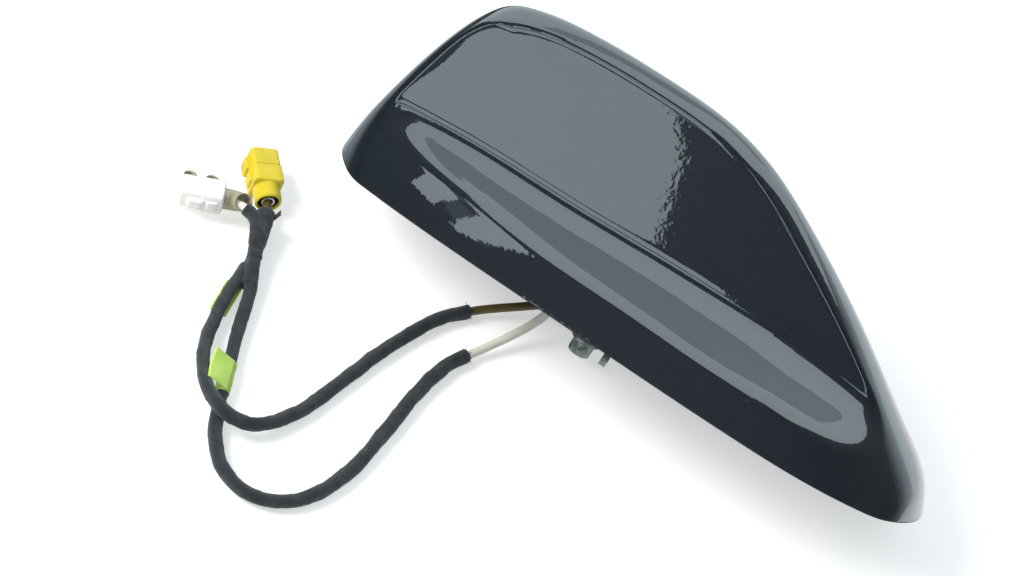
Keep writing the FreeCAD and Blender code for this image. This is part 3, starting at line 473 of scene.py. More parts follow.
def make_rim_line(rows):
    """The rubber strip under the rim, down one side and back along the other."""
    section = [
        (RIM_LINE_INSET, RIM_LINE_BITE), (RIM_LINE_INSET, -RIM_LINE),
        (RIM_LINE_REACH, -RIM_LINE), (RIM_LINE_REACH, RIM_LINE_BITE),
    ]
    strip = []
    for row in rows:
        foot = row[-3]
        for inward, z in section:
            for side in (1, -1):
                strip.append((foot[0], side * max(foot[1] - inward, RIM_LINE_LEAST), z))
    lines = np.array(strip).reshape(len(rows), 4, 2, 3)
    loops = np.concatenate([lines[:, :, 0], lines[::-1, :, 1]]).reshape(-1, 3)
    piece = mesh_piece("rim_line", lay_down(loops), grid_faces(2 * len(rows), 4, False), RUBBER, smooth=False)
    settle(piece, "seal_rubber", "rim_seal")


# How the fin lies: its turn comes from the roof face's mount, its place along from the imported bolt

roof_way = next(m for m in frame["record"]["mounts"] if m["name"] == "roof_face")["axis"]
TILT_SIN = -roof_way[1]
TILT_COS = -roof_way[2]
bolt_low, bolt_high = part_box("clamp_bolt")
# the car frame's origin in metres, so that the far rim rests on the table
ORIGIN_Y = -0.00039
ORIGIN_Z = 0.01914
LYING_SHIFT = np.array([(bolt_low[0] + bolt_high[0]) / 2, ORIGIN_Y, ORIGIN_Z])


def lay_down(points):
    """Millimetres in the car's frame to metres where the fin lies."""
    points = np.asarray(points, float) * MM
    turned = np.column_stack([
        points[:, 0],
        TILT_COS * points[:, 1] + TILT_SIN * points[:, 2],
        TILT_COS * points[:, 2] - TILT_SIN * points[:, 1],
    ])
    return turned + LYING_SHIFT


shell_rows = fin_rows()
make_fin_shell(shell_rows)
make_rim_line(shell_rows)


# Leads, tapes and connectors: where the connectors lie

class Spot:
    """A connector's rear centre and its way to the front, with x along it."""

    def __init__(self, rear, way):
        self.rear = Vector(rear)
        self.way = Vector(way).normalized()
        self.side = Vector((0, 0, 1)).cross(self.way).normalized()
        self.up = self.way.cross(self.side)

    def place(self, x, y=0.0, z=0.0):
        """A place in millimetres along, across and above the connector's axis."""
        return self.rear + (self.way * x + self.side * y + self.up * z) * MM


YELLOW_SPOT = Spot((-0.1107, -0.0255, 0.0050), (-0.590, 0.807, 0.0))
WHITE_SPOT = Spot((-0.1168, -0.0332, 0.0076), (-0.930, -0.360, -0.134))
LEAD_DIAMETER = 2.7 * MM
# where the leads pass the gland, in millimetres in the car's frame
GLAND_X = -13.0
BROWN_Y = 6.0
CREAM_Y = 0.0
BOARD_LOW = 6.0
EXIT_DROP = -9.0
# millimetres from a connector's cable end
CONTACT_START = 8.0

brown_exit, brown_below = lay_down([(GLAND_X, BROWN_Y, BOARD_LOW), (GLAND_X, BROWN_Y, EXIT_DROP)])
cream_exit, cream_below = lay_down([(GLAND_X, CREAM_Y, BOARD_LOW), (GLAND_X, CREAM_Y, EXIT_DROP)])
BROWN_ROUTE = [
    brown_exit, brown_below,
    (-0.0295, -0.0030, 0.0046), (-0.0410, -0.0128, 0.0026), (-0.0495, -0.0234, 0.0022),
    (-0.0535, -0.0325, 0.0022), (-0.0593, -0.0500, 0.0022), (-0.0638, -0.0685, 0.0022),
    (-0.0685, -0.0852, 0.0024), (-0.0756, -0.0978, 0.0044), (-0.0830, -0.1018, 0.0072),
    (-0.0910, -0.0988, 0.0072), (-0.0983, -0.0885, 0.0042), (-0.1021, -0.0765, 0.0025),
    (-0.1045, -0.0607, 0.0025), (-0.1046, -0.0456, 0.0024), (-0.1083, -0.0322, 0.00487),
    YELLOW_SPOT.place(1.0), YELLOW_SPOT.place(CONTACT_START),
]
CREAM_ROUTE = [
    cream_exit, cream_below,
    (-0.0262, -0.0118, 0.0058), (-0.0345, -0.0265, 0.0023), (-0.0412, -0.0390, 0.0022),
    (-0.0438, -0.0555, 0.0022), (-0.0450, -0.0725, 0.0022), (-0.0470, -0.0930, 0.0022),
    (-0.0536, -0.1095, 0.0022), (-0.0646, -0.1172, 0.0022), (-0.0760, -0.1150, 0.0022),
    (-0.0836, -0.1062, 0.0022), (-0.0880, -0.0950, 0.0025), (-0.0912, -0.0842, 0.0025),
    (-0.0958, -0.0695, 0.0025), (-0.0996, -0.0553, 0.0034), (-0.1046, -0.0456, 0.0056),
    WHITE_SPOT.place(-5.0), WHITE_SPOT.place(CONTACT_START),
]


def make_lead(name, route, finish):
    """A round lead along its route, and the points of its line."""
    curve = bpy.data.curves.new(name, "CURVE")
    curve.dimensions = "3D"
    spline = curve.splines.new("NURBS")
    spline.points.add(len(route) - 1)
    for point, place in zip(spline.points, route):
        point.co = (*place, 1.0)
    spline.order_u = 3
    spline.use_endpoint_u = True
    spline.resolution_u = 12
    piece = bpy.data.objects.new(name, curve)
    bpy.context.collection.objects.link(piece)
    line = [v.co.copy() for v in bpy.data.meshes.new_from_object(piece).vertices]
    curve.bevel_depth = LEAD_DIAMETER / 2
    curve.bevel_resolution = 5
    curve.use_fill_caps = True
    curve.materials.append(finish)
    return piece, line


brown_lead, brown_line = make_lead("brown_coax", BROWN_ROUTE, BROWN)
cream_lead, cream_line = make_lead("cream_coax", CREAM_ROUTE, CREAM)
settle(brown_lead, "brown_jacket", "brown_lead")
settle(cream_lead, "cream_jacket", "cream_lead")


def lengths_along(line):
    """The distance from a line's start to each of its points."""
    total = [0.0]
    for a, b in zip(line, line[1:]):
        total.append(total[-1] + (b - a).length)
    return total


def stretch(line, start, end, step):
    """Evenly spaced points of a line between two distances along it."""
    lengths = lengths_along(line)
    count = max(int(round((end - start) / step)), 2)
    places = np.linspace(start, end, count + 1)
    columns = [np.interp(places, lengths, [p[k] for p in line]) for k in range(3)]
    return [Vector(p) for p in zip(*columns)], places


def nearest_length(line, place):
    """How far along a line it comes nearest to a place."""
    place = Vector(place)
    lengths = lengths_along(line)
    return min(zip(lengths, line), key=lambda pair: (pair[1] - place).length)[0]


def carried_frames(points):
    """At each point of a line, a sideways and an upward direction that don't twist."""
    side = Vector((0, 0, 1)).cross(points[1] - points[0]).normalized()
    frames = []
    for k, point in enumerate(points):
        along = (points[min(k + 1, len(points) - 1)] - points[max(k - 1, 0)]).normalized()
        side = (side - along * side.dot(along)).normalized()
        frames.append((side, along.cross(side)))
    return frames


ROUND_POINTS = 30
TUBE_STEP = 0.0005
TABLE_GAP = 0.00005
# radius that lays the weave out round a tube
WEAVE_RADIUS = 0.0022


def wrapped_tube(name, line, start, end, radius_at, finish, step=TUBE_STEP):
    """A closed tube round a line. radius_at gives the radius for a distance along and an angle."""
    points, places = stretch(line, start, end, step)
    frames = carried_frames(points)
    rows = []
    for point, place, (side, up) in zip(points, places, frames):
        for k in range(ROUND_POINTS):
            angle = 2 * math.pi * k / ROUND_POINTS
            radius = radius_at(place, angle)
            spot = point + side * (math.cos(angle) * radius) + up * (math.sin(angle) * radius)
            spot.z = max(spot.z, TABLE_GAP)
            rows.append(spot)
    faces = grid_faces(len(points), ROUND_POINTS, True)
    ends = []
    last_row = (len(points) - 1) * ROUND_POINTS
    for point, base, is_start in ((points[0], 0, True), (points[-1], last_row, False)):
        centre = len(rows)
        rows.append(point.copy())
        for k in range(ROUND_POINTS):
            here = base + k
            after = base + (k + 1) % ROUND_POINTS
            ends.append((after, here, centre) if is_start else (here, after, centre))
    piece = mesh_piece(name, rows, faces + ends, finish)
    layer = piece.data.uv_layers.new(name="UVMap")
    for face in piece.data.polygons:
        for corner in face.loop_indices:
            vertex = piece.data.loops[corner].vertex_index
            row, column = divmod(min(vertex, len(points) * ROUND_POINTS - 1), ROUND_POINTS)
            closes = column == 0 and face.index % ROUND_POINTS == ROUND_POINTS - 1
            wide = ROUND_POINTS if closes else column
            layer.data[corner].uv = (places[row], wide / ROUND_POINTS * 2 * math.pi * WEAVE_RADIUS)
    return piece


LAP_HEIGHT = 0.00016
LUMP_HEIGHT = 0.00032
LUMPS_PER_METRE = 140
LUMP_SPREAD = 0.8
RIPPLE_HEIGHT = 0.00009
RIPPLES_PER_METRE = 420


def tape_radius(seed, base, thin, start, end, pitch):
    """Radius of wound tape: overlapping turns, lumps, and a slow change along the lead."""
    def radius(place, angle):
        share = (place - start) / (end - start)
        mean = base + (thin - base) * min(max(share, 0.0), 1.0)
        turn = (place / pitch + angle / (2 * math.pi)) % 1.0
        lap = LAP_HEIGHT * (1 - turn) ** 2
        across = math.cos(angle)
        up = math.sin(angle)
        lump_spot = Vector((place * LUMPS_PER_METRE, across * LUMP_SPREAD + seed, up * LUMP_SPREAD))
        ripple_spot = Vector((place * RIPPLES_PER_METRE, across + seed * 3, up))
        lump = noise.noise(lump_spot) * LUMP_HEIGHT
        ripple = noise.noise(ripple_spot) * RIPPLE_HEIGHT
        return mean + lap + lump + ripple
    return radius


def wind_tape(name, line, start, end, radii, pitch, seed, step=TUBE_STEP):
    """Tape wound on a lead between two distances along it. radii: at the tape's start and end."""
    radius_at = tape_radius(seed, *radii, start, end, pitch)
    return wrapped_tube(name, line, start, end, radius_at, TAPE, step)


BROWN_TAPE_START = nearest_length(brown_line, (-0.0450, -0.0160, 0.0024))
BROWN_TAPE_END = nearest_length(brown_line, (-0.1045, -0.0480, 0.0024))
CREAM_TAPE_START = nearest_length(cream_line, (-0.0372, -0.0323, 0.0022))
CREAM_TAPE_END = nearest_length(cream_line, (-0.1046, -0.0450, 0.0056))
BROWN_TAPE_RADII = (0.00205, 0.00180)
CREAM_TAPE_RADII = (0.00210, 0.00180)
BROWN_TAPE_PITCH = 0.0085
CREAM_TAPE_PITCH = 0.0095
brown_tape = wind_tape("brown_tape", brown_line, BROWN_TAPE_START, BROWN_TAPE_END, BROWN_TAPE_RADII,
                       BROWN_TAPE_PITCH, seed=1.0)
cream_tape = wind_tape("cream_tape", cream_line, CREAM_TAPE_START, CREAM_TAPE_END, CREAM_TAPE_RADII,
                       CREAM_TAPE_PITCH, seed=7.0)
settle(brown_tape, "textile_tape", "brown_sleeve")
settle(cream_tape, "textile_tape", "cream_sleeve")


# Tape round both leads, from where they meet to the fork

MEETING = Vector((-0.1044, -0.0459, 0.0039))
FORK = Vector((-0.1093, -0.0307, 0.0066))
# how far the tape runs back from the meeting, as a share of the way to the fork
BUNDLE_BACK = 0.6
bundle_line = [
    MEETING + (MEETING - FORK) * BUNDLE_BACK, MEETING, MEETING.lerp(FORK, 0.35), MEETING.lerp(FORK, 0.7),
    FORK,
]
bundle_length = lengths_along(bundle_line)[-1]
BUNDLE_ACROSS = 0.0019
BUNDLE_WIDENS = 0.0007
WIDENS_RATE = 1.3
WIDENS_DELAY = 0.2
BUNDLE_TALL = 0.0031
BUNDLE_RISES = 0.0003
BUNDLE_PITCH = 0.006
BUNDLE_LAP = 0.0002
BUNDLE_LUMP = 0.00028
BUNDLE_LUMPS_PER_METRE = 260
BUNDLE_SPREAD = 1.3


def bundle_radius(place, angle):
    """An upright oval round both leads, wider at the fork."""
    share = place / bundle_length
    across = BUNDLE_ACROSS + BUNDLE_WIDENS * ease(np.float64(share * WIDENS_RATE - WIDENS_DELAY))
    tall = BUNDLE_TALL + BUNDLE_RISES * share
    oval = 1 / math.sqrt((math.cos(angle) / across) ** 2 + (math.sin(angle) / tall) ** 2)
    turn = (place / BUNDLE_PITCH + angle / (2 * math.pi)) % 1.0
    lump_spot = Vector((
        place * BUNDLE_LUMPS_PER_METRE, math.cos(angle) * BUNDLE_SPREAD, math.sin(angle) * BUNDLE_SPREAD + 4))
    lump = noise.noise(lump_spot) * BUNDLE_LUMP
    return oval + BUNDLE_LAP * (1 - turn) ** 2 + lump


bundle_tape = wrapped_tube("bundle_tape", bundle_line, 0.0, bundle_length, bundle_radius, TAPE)
settle(bundle_tape, "textile_tape", "bundle_sleeve")
# the white connector's branch: it starts under the bundle and ends short of the boot
BRANCH_OVERLAP = 0.002
BRANCH_GAP = 2.6
BRANCH_RADII = (0.0021, 0.0019)
BRANCH_PITCH = 0.005
BRANCH_STEP = 0.0003
branch_start = CREAM_TAPE_END - BRANCH_OVERLAP
branch_end = nearest_length(cream_line, WHITE_SPOT.place(-BRANCH_GAP))
branch_tape = wind_tape("branch_tape", cream_line, branch_start, branch_end, BRANCH_RADII, BRANCH_PITCH,
                        seed=3.0, step=BRANCH_STEP)
settle(branch_tape, "textile_tape")


# Torn ends of the tape: a few loose threads and a flap

# a thread's corners: two at the root, two at the tip, then the root's and the tip's inner corner
THREAD_FACES = [(0, 1, 2, 3), (1, 0, 4), (3, 2, 5), (0, 3, 5, 4), (2, 1, 4, 5)]
THREAD_REACH = 0.0011
THREAD_SPREAD = 0.0009
THREAD_HALF_WIDTH = 0.00022
THREAD_TAPER = 0.3
ROOT_THICKNESS = 0.0002
TIP_THICKNESS = 0.0001
# how much a thread strays round the tape, stands off it and leans along it
THREAD_STRAY = 0.3
THREAD_STAND = 0.5
THREAD_LEAN = 1.6
# threads start a little inside the tape
ROOT_SHARE = 0.93
FRAY_STEP = 0.0003
FRAY_RADIUS = 0.0021
FORK_FRAY_RADIUS = 0.0028
FORK_FRAY_BACK = 0.0007


def make_fray(name, line, place, radius, seed, count=9):
    """Short loose threads that stand off the end of a tape."""
    points, _ = stretch(line, place - 2 * FRAY_STEP, place + 2 * FRAY_STEP, FRAY_STEP)
    side, up = carried_frames(points)[2]
    along = (points[3] - points[1]).normalized()
    rows = []
    faces = []
    for k in range(count):
        angle = 2 * math.pi * (k + THREAD_STRAY * noise.noise(Vector((k * 1.7, seed, 0)))) / count
        out = side * math.cos(angle) + up * math.sin(angle)
        reach = THREAD_REACH + THREAD_SPREAD * noise.noise(Vector((seed, k * 2.3, 1)))
        lean = out * THREAD_STAND + along * noise.noise(Vector((k * 3.1, 2, seed))) * THREAD_LEAN
        root = points[2] + out * (radius * ROOT_SHARE)
        tip = root + lean.normalized() * reach
        wide = along.cross(out) * THREAD_HALF_WIDTH
        base = len(rows)
        narrow = wide * THREAD_TAPER
        rows += [root - wide, root + wide, tip + narrow, tip - narrow]
        rows += [root - out * ROOT_THICKNESS, tip - out * TIP_THICKNESS]
        faces += [tuple(base + corner for corner in face) for face in THREAD_FACES]
    for row in rows:
        row.z = max(row.z, TABLE_GAP)
    piece = mesh_piece(name, rows, faces, TAPE, smooth=False)
    piece.data.uv_layers.new(name="UVMap")
    settle(piece, "textile_tape")
    return piece


brown_fray = make_fray("brown_fray", brown_line, BROWN_TAPE_START, FRAY_RADIUS, seed=5.0)
cream_fray = make_fray("cream_fray", cream_line, CREAM_TAPE_START, FRAY_RADIUS, seed=9.0)
fork_fray = make_fray("fork_fray", bundle_line, bundle_length - FORK_FRAY_BACK, FORK_FRAY_RADIUS, seed=2.0,
                      count=7)


def make_sheet(name, corner, along, across, length, width, rows, columns, lift, finish, thickness=0.00025):
    """A thin strip with its own curl; lift gives how far a place stands off the flat."""
    normal = along.cross(across).normalized()
    points = []
    for r in range(rows + 1):
        for c in range(columns + 1):
            u, v = r / rows, c / columns
            points.append(corner + along * (length * u) + across * (width * v) + normal * lift(u, v))
    piece = mesh_piece(name, points, grid_faces(rows + 1, columns + 1, False), finish)
    layer = piece.data.uv_layers.new(name="UVMap")
    for loop in piece.data.loops:
        r, c = divmod(loop.vertex_index, columns + 1)
        layer.data[loop.index].uv = (length * r / rows, width * c / columns)
    solid = piece.modifiers.new("thickness", "SOLIDIFY")
    solid.thickness = thickness
    solid.offset = 0.0
    return piece


FLAP_LENGTH = 0.0042
FLAP_WIDTH = 0.0014
flap_corner = FORK.lerp(MEETING, 0.17) + Vector((0.0012, 0.0006, 0.0012))
flap_along = Vector((0.34, 0.67, 0.65)).normalized()
flap_across = Vector((0.54, -0.60, -0.59)).normalized()
fork_flap = make_sheet("fork_flap", flap_corner, flap_along, flap_across, FLAP_LENGTH, FLAP_WIDTH, 8, 5,
                       lambda u, v: 0.0006 * math.sin(3 * u + v), TAPE)
settle(fork_flap, "textile_tape")


# Green tape: a band with a flap on the cream lead, and a tab under the brown lead

GREEN_RADIUS = 0.00225
GREEN_RIPPLE = 0.00005
GREEN_RIPPLE_RATE = 900
FLAG_LENGTH = 0.0105
FLAG_WIDTH = 0.0076
FLAG_TILT = math.radians(30)
FLAG_OFFSET = 0.0024
flag_middle = nearest_length(cream_line, (-0.0903, -0.0872, 0.0025))
flag_start = flag_middle - FLAG_LENGTH / 2
flag_end = flag_middle + FLAG_LENGTH / 2


def green_radius(place, angle):
    """A nearly round band with slight ripples."""
    return GREEN_RADIUS + GREEN_RIPPLE * math.sin(place * GREEN_RIPPLE_RATE + angle)


green_band = wrapped_tube("green_band", cream_line, flag_start, flag_end, green_radius, GREEN)
flag_points, _ = stretch(cream_line, flag_start, flag_end, FLAG_LENGTH / 4)
flag_along = (flag_points[-1] - flag_points[0]).normalized()
flag_left = Vector((0, 0, 1)).cross(flag_along).normalized()
flag_across = flag_left * math.cos(FLAG_TILT) + Vector((0, 0, 1)) * math.sin(FLAG_TILT)
flag_corner = flag_points[0] + flag_along.cross(flag_across).normalized() * FLAG_OFFSET
green_flap = make_sheet("green_flap", flag_corner, flag_along, flag_across, FLAG_LENGTH, FLAG_WIDTH, 14, 12,
                        lambda u, v: -0.0006 * v * v + 0.0003 * math.sin(6 * u + 2 * v) * v, GREEN)
settle(green_band, "green_tape", "green_flag")
settle(green_flap, "green_tape")
TAB_LENGTH = 0.0125
TAB_WIDTH = 0.0051
TAB_LIFT = 0.0004
tab_middle = nearest_length(brown_line, (-0.1044, -0.0615, 0.0025))
tab_points, _ = stretch(brown_line, tab_middle - TAB_LENGTH / 2, tab_middle + TAB_LENGTH / 2, TAB_LENGTH / 4)
tab_along = (tab_points[-1] - tab_points[0]).normalized()
tab_left = Vector((0, 0, 1)).cross(tab_along).normalized()
tab_corner = tab_points[0] - tab_left * (TAB_WIDTH / 2)
tab_corner.z = TAB_LIFT
green_tab = make_sheet("green_strip", tab_corner, tab_along, tab_left, TAB_LENGTH, TAB_WIDTH, 12, 10,
                       lambda u, v: 0.0008 * (2 * v - 1) ** 2 + 0.0001 * math.sin(9 * u), GREEN)
settle(green_tab, "green_tape", "green_tab")


# Connector housings

LOFT_POINTS = 48


def square_loop(spot, x, half, squareness):
    """A loop round a connector's axis: squareness 2 is a circle, more is a rounded square."""
    loop = []
    for k in range(LOFT_POINTS):
        angle = 2 * math.pi * k / LOFT_POINTS
        c, s = math.cos(angle), math.sin(angle)
        reach = half / (abs(c) ** squareness + abs(s) ** squareness) ** (1 / squareness)
        loop.append(spot.place(x, c * reach, s * reach))
    return loop


# along a housing from the cable end: place, half width and squareness, in millimetres
COLLAR_LOOPS = [
    (7.9, 0.5, 2.0), (7.9, 3.1, 2.0), (0.5, 3.2, 2.0), (0.1, 3.3, 2.0), (0.0, 3.5, 2.0), (0.1, 3.8, 2.0),
    (0.5, 4.05, 2.0), (1.0, 4.1, 2.0), (5.0, 4.1, 2.0), (5.3, 4.2, 2.3),
]
BODY_LOOPS = [
    (5.4, 4.45, 7.0), (5.65, 4.6, 9.0), (6.0, 4.65, 9.0), (11.2, 4.65, 9.0), (11.35, 4.6, 9.0),
    (11.4, 4.45, 9.0), (11.7, 4.43, 9.0), (17.2, 4.38, 9.0), (17.7, 4.25, 8.0), (17.95, 4.0, 6.0),
    (18.0, 3.7, 3.0), (17.9, 3.55, 2.0), (17.5, 3.5, 2.0), (10.0, 3.5, 2.0), (9.9, 2.6, 2.0),
]
BORE_SHADE_LOOPS = [(0.9, 3.15, 2.0), (1.2, 3.05, 2.0), (7.7, 3.0, 2.0), (7.8, 0.5, 2.0)]
CRIMP_LOOPS = [(0.4, 1.45, 2.0), (0.3, 1.7, 2.0), (0.4, 2.0, 2.0), (1.0, 2.1, 2.0), (7.6, 2.1, 2.0)]
WHITE_BACK_LOOPS = [(5.0, 0.4, 2.0), (5.0, 3.0, 2.0)]
# the white housing's section as a share of the yellow one's
WHITE_SHARE = 0.82
# side views, in millimetres: place along and distance off the axis
LATCH_OUTLINE = [
    (6.2, 4.2), (6.8, 5.2), (7.8, 5.5), (9.6, 5.6), (9.8, 5.0), (10.8, 5.0), (11.0, 5.9), (11.9, 6.2),
    (15.0, 6.1), (15.6, 5.6), (15.7, 4.2),
]
BAR_OUTLINE = [(11.6, 4.2), (11.6, 4.62), (13.3, 4.62), (13.4, 4.2)]
HOOK_OUTLINE = [
    (0.0, 4.2), (0.4, 5.6), (1.8, 6.3), (3.4, 5.9), (4.0, 5.0), (3.3, 5.3), (2.0, 5.6), (1.2, 5.0),
    (1.1, 4.2),
]
HOOK_STARTS = (7.5, 14.0)
# how far these reach across the housing, in millimetres
LATCH_HALF = 2.1
WHITE_LATCH_HALF = 1.7
BAR_HALF = 3.6
HOOK_LOW = 0.6
HOOK_HIGH = 3.4
# roundings in metres
HOUSING_ROUNDING = 0.00012
BAR_ROUNDING = 0.0001
LATCH_ROUNDING = 0.00025


def lofted(name, spot, loops, finish):
    """A skin over loops round a connector's axis."""
    rows = []
    for x, half, squareness in loops:
        rows += square_loop(spot, x, half, squareness)
    piece = mesh_piece(name, rows, grid_faces(len(loops), LOFT_POINTS, True), finish)
    bevel_sharp(piece, HOUSING_ROUNDING, 40)
    return piece


def bevel_sharp(piece, width, angle):
    """Round the sharp edges a little, as a moulding or a stamping has them."""
    rounding = piece.modifiers.new("rounding", "BEVEL")
    rounding.width = width
    rounding.segments = 2
    rounding.limit_method = "ANGLE"
    rounding.angle_limit = math.radians(angle)
    rounding.harden_normals = False


def make_bar(name, spot, outline_points, low, high, finish, across="side", rounding=LATCH_ROUNDING):
    """A side view drawn along the connector, given thickness across it."""
    rows = []
    for depth in (low, high):
        for x, out in outline_points:
            rows.append(spot.place(x, out, depth) if across == "side" else spot.place(x, depth, out))
    count = len(outline_points)
    faces = [tuple(range(count)), tuple(reversed(range(count, 2 * count)))]
    for k in range(count):
        faces.append((k, count + k, count + (k + 1) % count, (k + 1) % count))
    piece = mesh_piece(name, rows, faces, finish, smooth=False)
    mesh = bmesh.new()
    mesh.from_mesh(piece.data)
    bmesh.ops.recalc_face_normals(mesh, faces=mesh.faces)
    mesh.to_mesh(piece.data)
    mesh.free()
    bevel_sharp(piece, rounding, 30)
    return piece


# Yellow connector: a housing with a stepped latch on its left side and a bar on top

yellow_housing = lofted("yellow_shell", YELLOW_SPOT, COLLAR_LOOPS + BODY_LOOPS, YELLOW)
settle(yellow_housing, "yellow_plastic", "yellow_housing", "yellow_lock")
yellow_latch = make_bar("yellow_latch", YELLOW_SPOT, LATCH_OUTLINE, -LATCH_HALF, LATCH_HALF, YELLOW)
yellow_bar = make_bar("yellow_bar", YELLOW_SPOT, BAR_OUTLINE, -BAR_HALF, BAR_HALF, YELLOW, across="up",
                      rounding=BAR_ROUNDING)
settle(yellow_latch, "yellow_plastic")
settle(yellow_bar, "yellow_plastic")
# a near-black sleeve inside the yellow collar's bore: painted shade where the yellow plastic lies in shadow
yellow_bore_shade = lofted("yellow_bore_shade", YELLOW_SPOT, BORE_SHADE_LOOPS, RUBBER)
settle(yellow_bore_shade, "yellow_plastic")
yellow_ferrule = lofted("yellow_crimp", YELLOW_SPOT, CRIMP_LOOPS, TIN)
settle(yellow_ferrule, "tin_plate", "yellow_ferrule")


# White connector: a smaller housing with two open hooks on one side and a latch on the other

white_loops = [(x, half * WHITE_SHARE, squareness) for x, half, squareness in BODY_LOOPS]
white_housing = lofted("white_shell", WHITE_SPOT, WHITE_BACK_LOOPS + white_loops, WHITE)
settle(white_housing, "white_plastic", "white_housing", "white_lock")
# the hooks are white plastic; their dark beige is painted shade
for number, start in enumerate(HOOK_STARTS):
    hook_outline = [(start + x, -y * WHITE_SHARE) for x, y in HOOK_OUTLINE]
    hook = make_bar("white_hook_" + str(number + 1), WHITE_SPOT, hook_outline, HOOK_LOW, HOOK_HIGH, SHADE_BEIGE)
    settle(hook, "white_plastic")
white_latch_outline = [(x, y * WHITE_SHARE) for x, y in LATCH_OUTLINE]
white_latch = make_bar("white_latch", WHITE_SPOT, white_latch_outline, -WHITE_LATCH_HALF, WHITE_LATCH_HALF,
                       WHITE)
settle(white_latch, "white_plastic")


def make_boot():
    """A short boot at the white connector's cable end, turned up towards the lead, coloured dark beige as
    painted shade of the white plastic inside its cup.
    """
    mouth_way = Vector((0.45, -0.50, 0.74)).normalized()
    mouth = WHITE_SPOT.place(0.0) + mouth_way * 0.0012
    half_way = (mouth_way - WHITE_SPOT.way).normalized()
    # way of the loop's axis, middle and radius
    loops = [
        (-WHITE_SPOT.way, WHITE_SPOT.place(6.0), 0.0030), (-WHITE_SPOT.way, WHITE_SPOT.place(4.0), 0.0031),
        (half_way, WHITE_SPOT.place(1.8), 0.0030), (mouth_way, mouth, 0.00285),
        (mouth_way, mouth + mouth_way * 0.0006, 0.0028), (mouth_way, mouth + mouth_way * 0.0008, 0.0026),
        (mouth_way, mouth + mouth_way * 0.0006, 0.0024), (mouth_way, mouth - mouth_way * 0.0015, 0.0022),
        (mouth_way, mouth - mouth_way * 0.0016, 0.0003),
    ]
    rows = []
    for way, middle, radius in loops:
        side = Vector((0, 0, 1)).cross(way).normalized()
        up = way.cross(side)
        for k in range(LOFT_POINTS):
            angle = 2 * math.pi * k / LOFT_POINTS
            rows.append(middle + side * (math.cos(angle) * radius) + up * (math.sin(angle) * radius))
    piece = mesh_piece("white_boot", rows, grid_faces(len(loops), LOFT_POINTS, True), SHADE_BEIGE)
    settle(piece, "white_plastic", "white_ferrule")
    return piece


white_boot = make_boot()


# Clamp bolt and claws under the fin, drawn in millimetres in the car's frame

# between a hexagon's corner and its flat, where it is as wide as the round
HEXAGON_MEAN = math.cos(math.radians(15))
BOLT_SHARP_ANGLE = math.radians(35)


def make_bolt():
    """Flanged hexagon bolt. Each loop: height, radius, and how much of a hexagon it is."""
    loops = [
        (-7.0, 2.5, 0.0), (-10.6, 2.5, 0.0), (-10.7, 4.4, 0.0), (-11.1, 4.9, 0.0), (-11.8, 4.9, 0.0),
        (-12.2, 4.6, 0.0), (-12.4, 4.0, 0.8), (-12.6, 3.9, 1.0), (-15.6, 3.9, 1.0), (-16.3, 3.6, 0.8),
        (-16.7, 3.0, 0.2), (-16.7, 0.2, 0.0),
    ]
    sixth = math.pi / 3
    rows = []
    for height, radius, hexagon in loops:
        for k in range(LOFT_POINTS):
            angle = 2 * math.pi * k / LOFT_POINTS
            from_flat = (angle + sixth / 2) % sixth - sixth / 2
            corner = math.cos(sixth / 2) / math.cos(from_flat)
            reach = radius * (1 + hexagon * (corner / HEXAGON_MEAN - 1))
            rows.append((math.cos(angle) * reach, math.sin(angle) * reach, height))
    piece = mesh_piece("flange_bolt", lay_down(rows), grid_faces(len(loops), LOFT_POINTS, True), SHADED_ZINC)
    piece.data.set_sharp_from_angle(angle=BOLT_SHARP_ANGLE)
    settle(piece, "zinc_steel", "clamp_bolt")


# the claws' strip, in millimetres: where it starts and ends along the fin, and its thickness
CLAW_START = 6.2
CLAW_END = 8.4
CLAW_THICKNESS = 0.6


def make_claws():
    """A spring strip with a bent claw at each end."""
    section = [
        (CLAW_START, 0.0), (CLAW_END, 0.0), (CLAW_END, CLAW_THICKNESS), (CLAW_START, CLAW_THICKNESS),
    ]
    bend = [(-12.9, -11.9), (-13.8, -11.2), (-14.3, -9.8), (-13.8, -8.2), (-12.2, -7.4), (0.0, -7.2)]
    path = bend + [(-y, z) for y, z in bend[-2::-1]]
    rows = []
    for y, z in path:
        for x, lift in section:
            rows.append((x, y, z + lift))
    faces = grid_faces(len(path), 4, True) + [(3, 2, 1, 0), tuple(len(rows) - 4 + k for k in range(4))]
    piece = mesh_piece("spring_claws", lay_down(rows), faces, SHADED_ZINC, smooth=False)
    settle(piece, "zinc_steel", "claw_clip")


make_bolt()
make_claws()


# Finishes of the pieces that keep their solid

FINISHES = {
    BASE_PLASTIC: ["base_plate", "radio_carrier"],
    RUBBER: ["lead_gland"],
    FOAM: ["roof_pad"],
    DIE_CAST: ["clamp_block"],
    SHADED_ZINC: ["cover_screws", "board_screws"],
    BOARD: ["circuit_board"],
    PATCH: ["satellite_patch"],
    TIN: ["shield_can", "radio_saddle", "phone_element"],
    CONTACT: ["patch_pin", "radio_coil", "yellow_contact", "white_contact"],
}
for finish, names in FINISHES.items():
    for name in names:
        nodes[name].data.materials.clear()
        nodes[name].data.materials.append(finish)
bevel_sharp(nodes["clamp_block"], 0.0004, 35)


# Table, cards that the paint mirrors, light and camera

FIN_MIDDLE = Vector((0.0, 0.005, 0.045))


def sky_spot(turn, height, distance):
    """A place round the fin: degrees from +X towards +Y, degrees above the table, and how far off."""
    turn, height = math.radians(turn), math.radians(height)
    way = Vector((math.cos(turn) * math.cos(height), math.sin(turn) * math.cos(height), math.sin(height)))
    return FIN_MIDDLE + way * distance


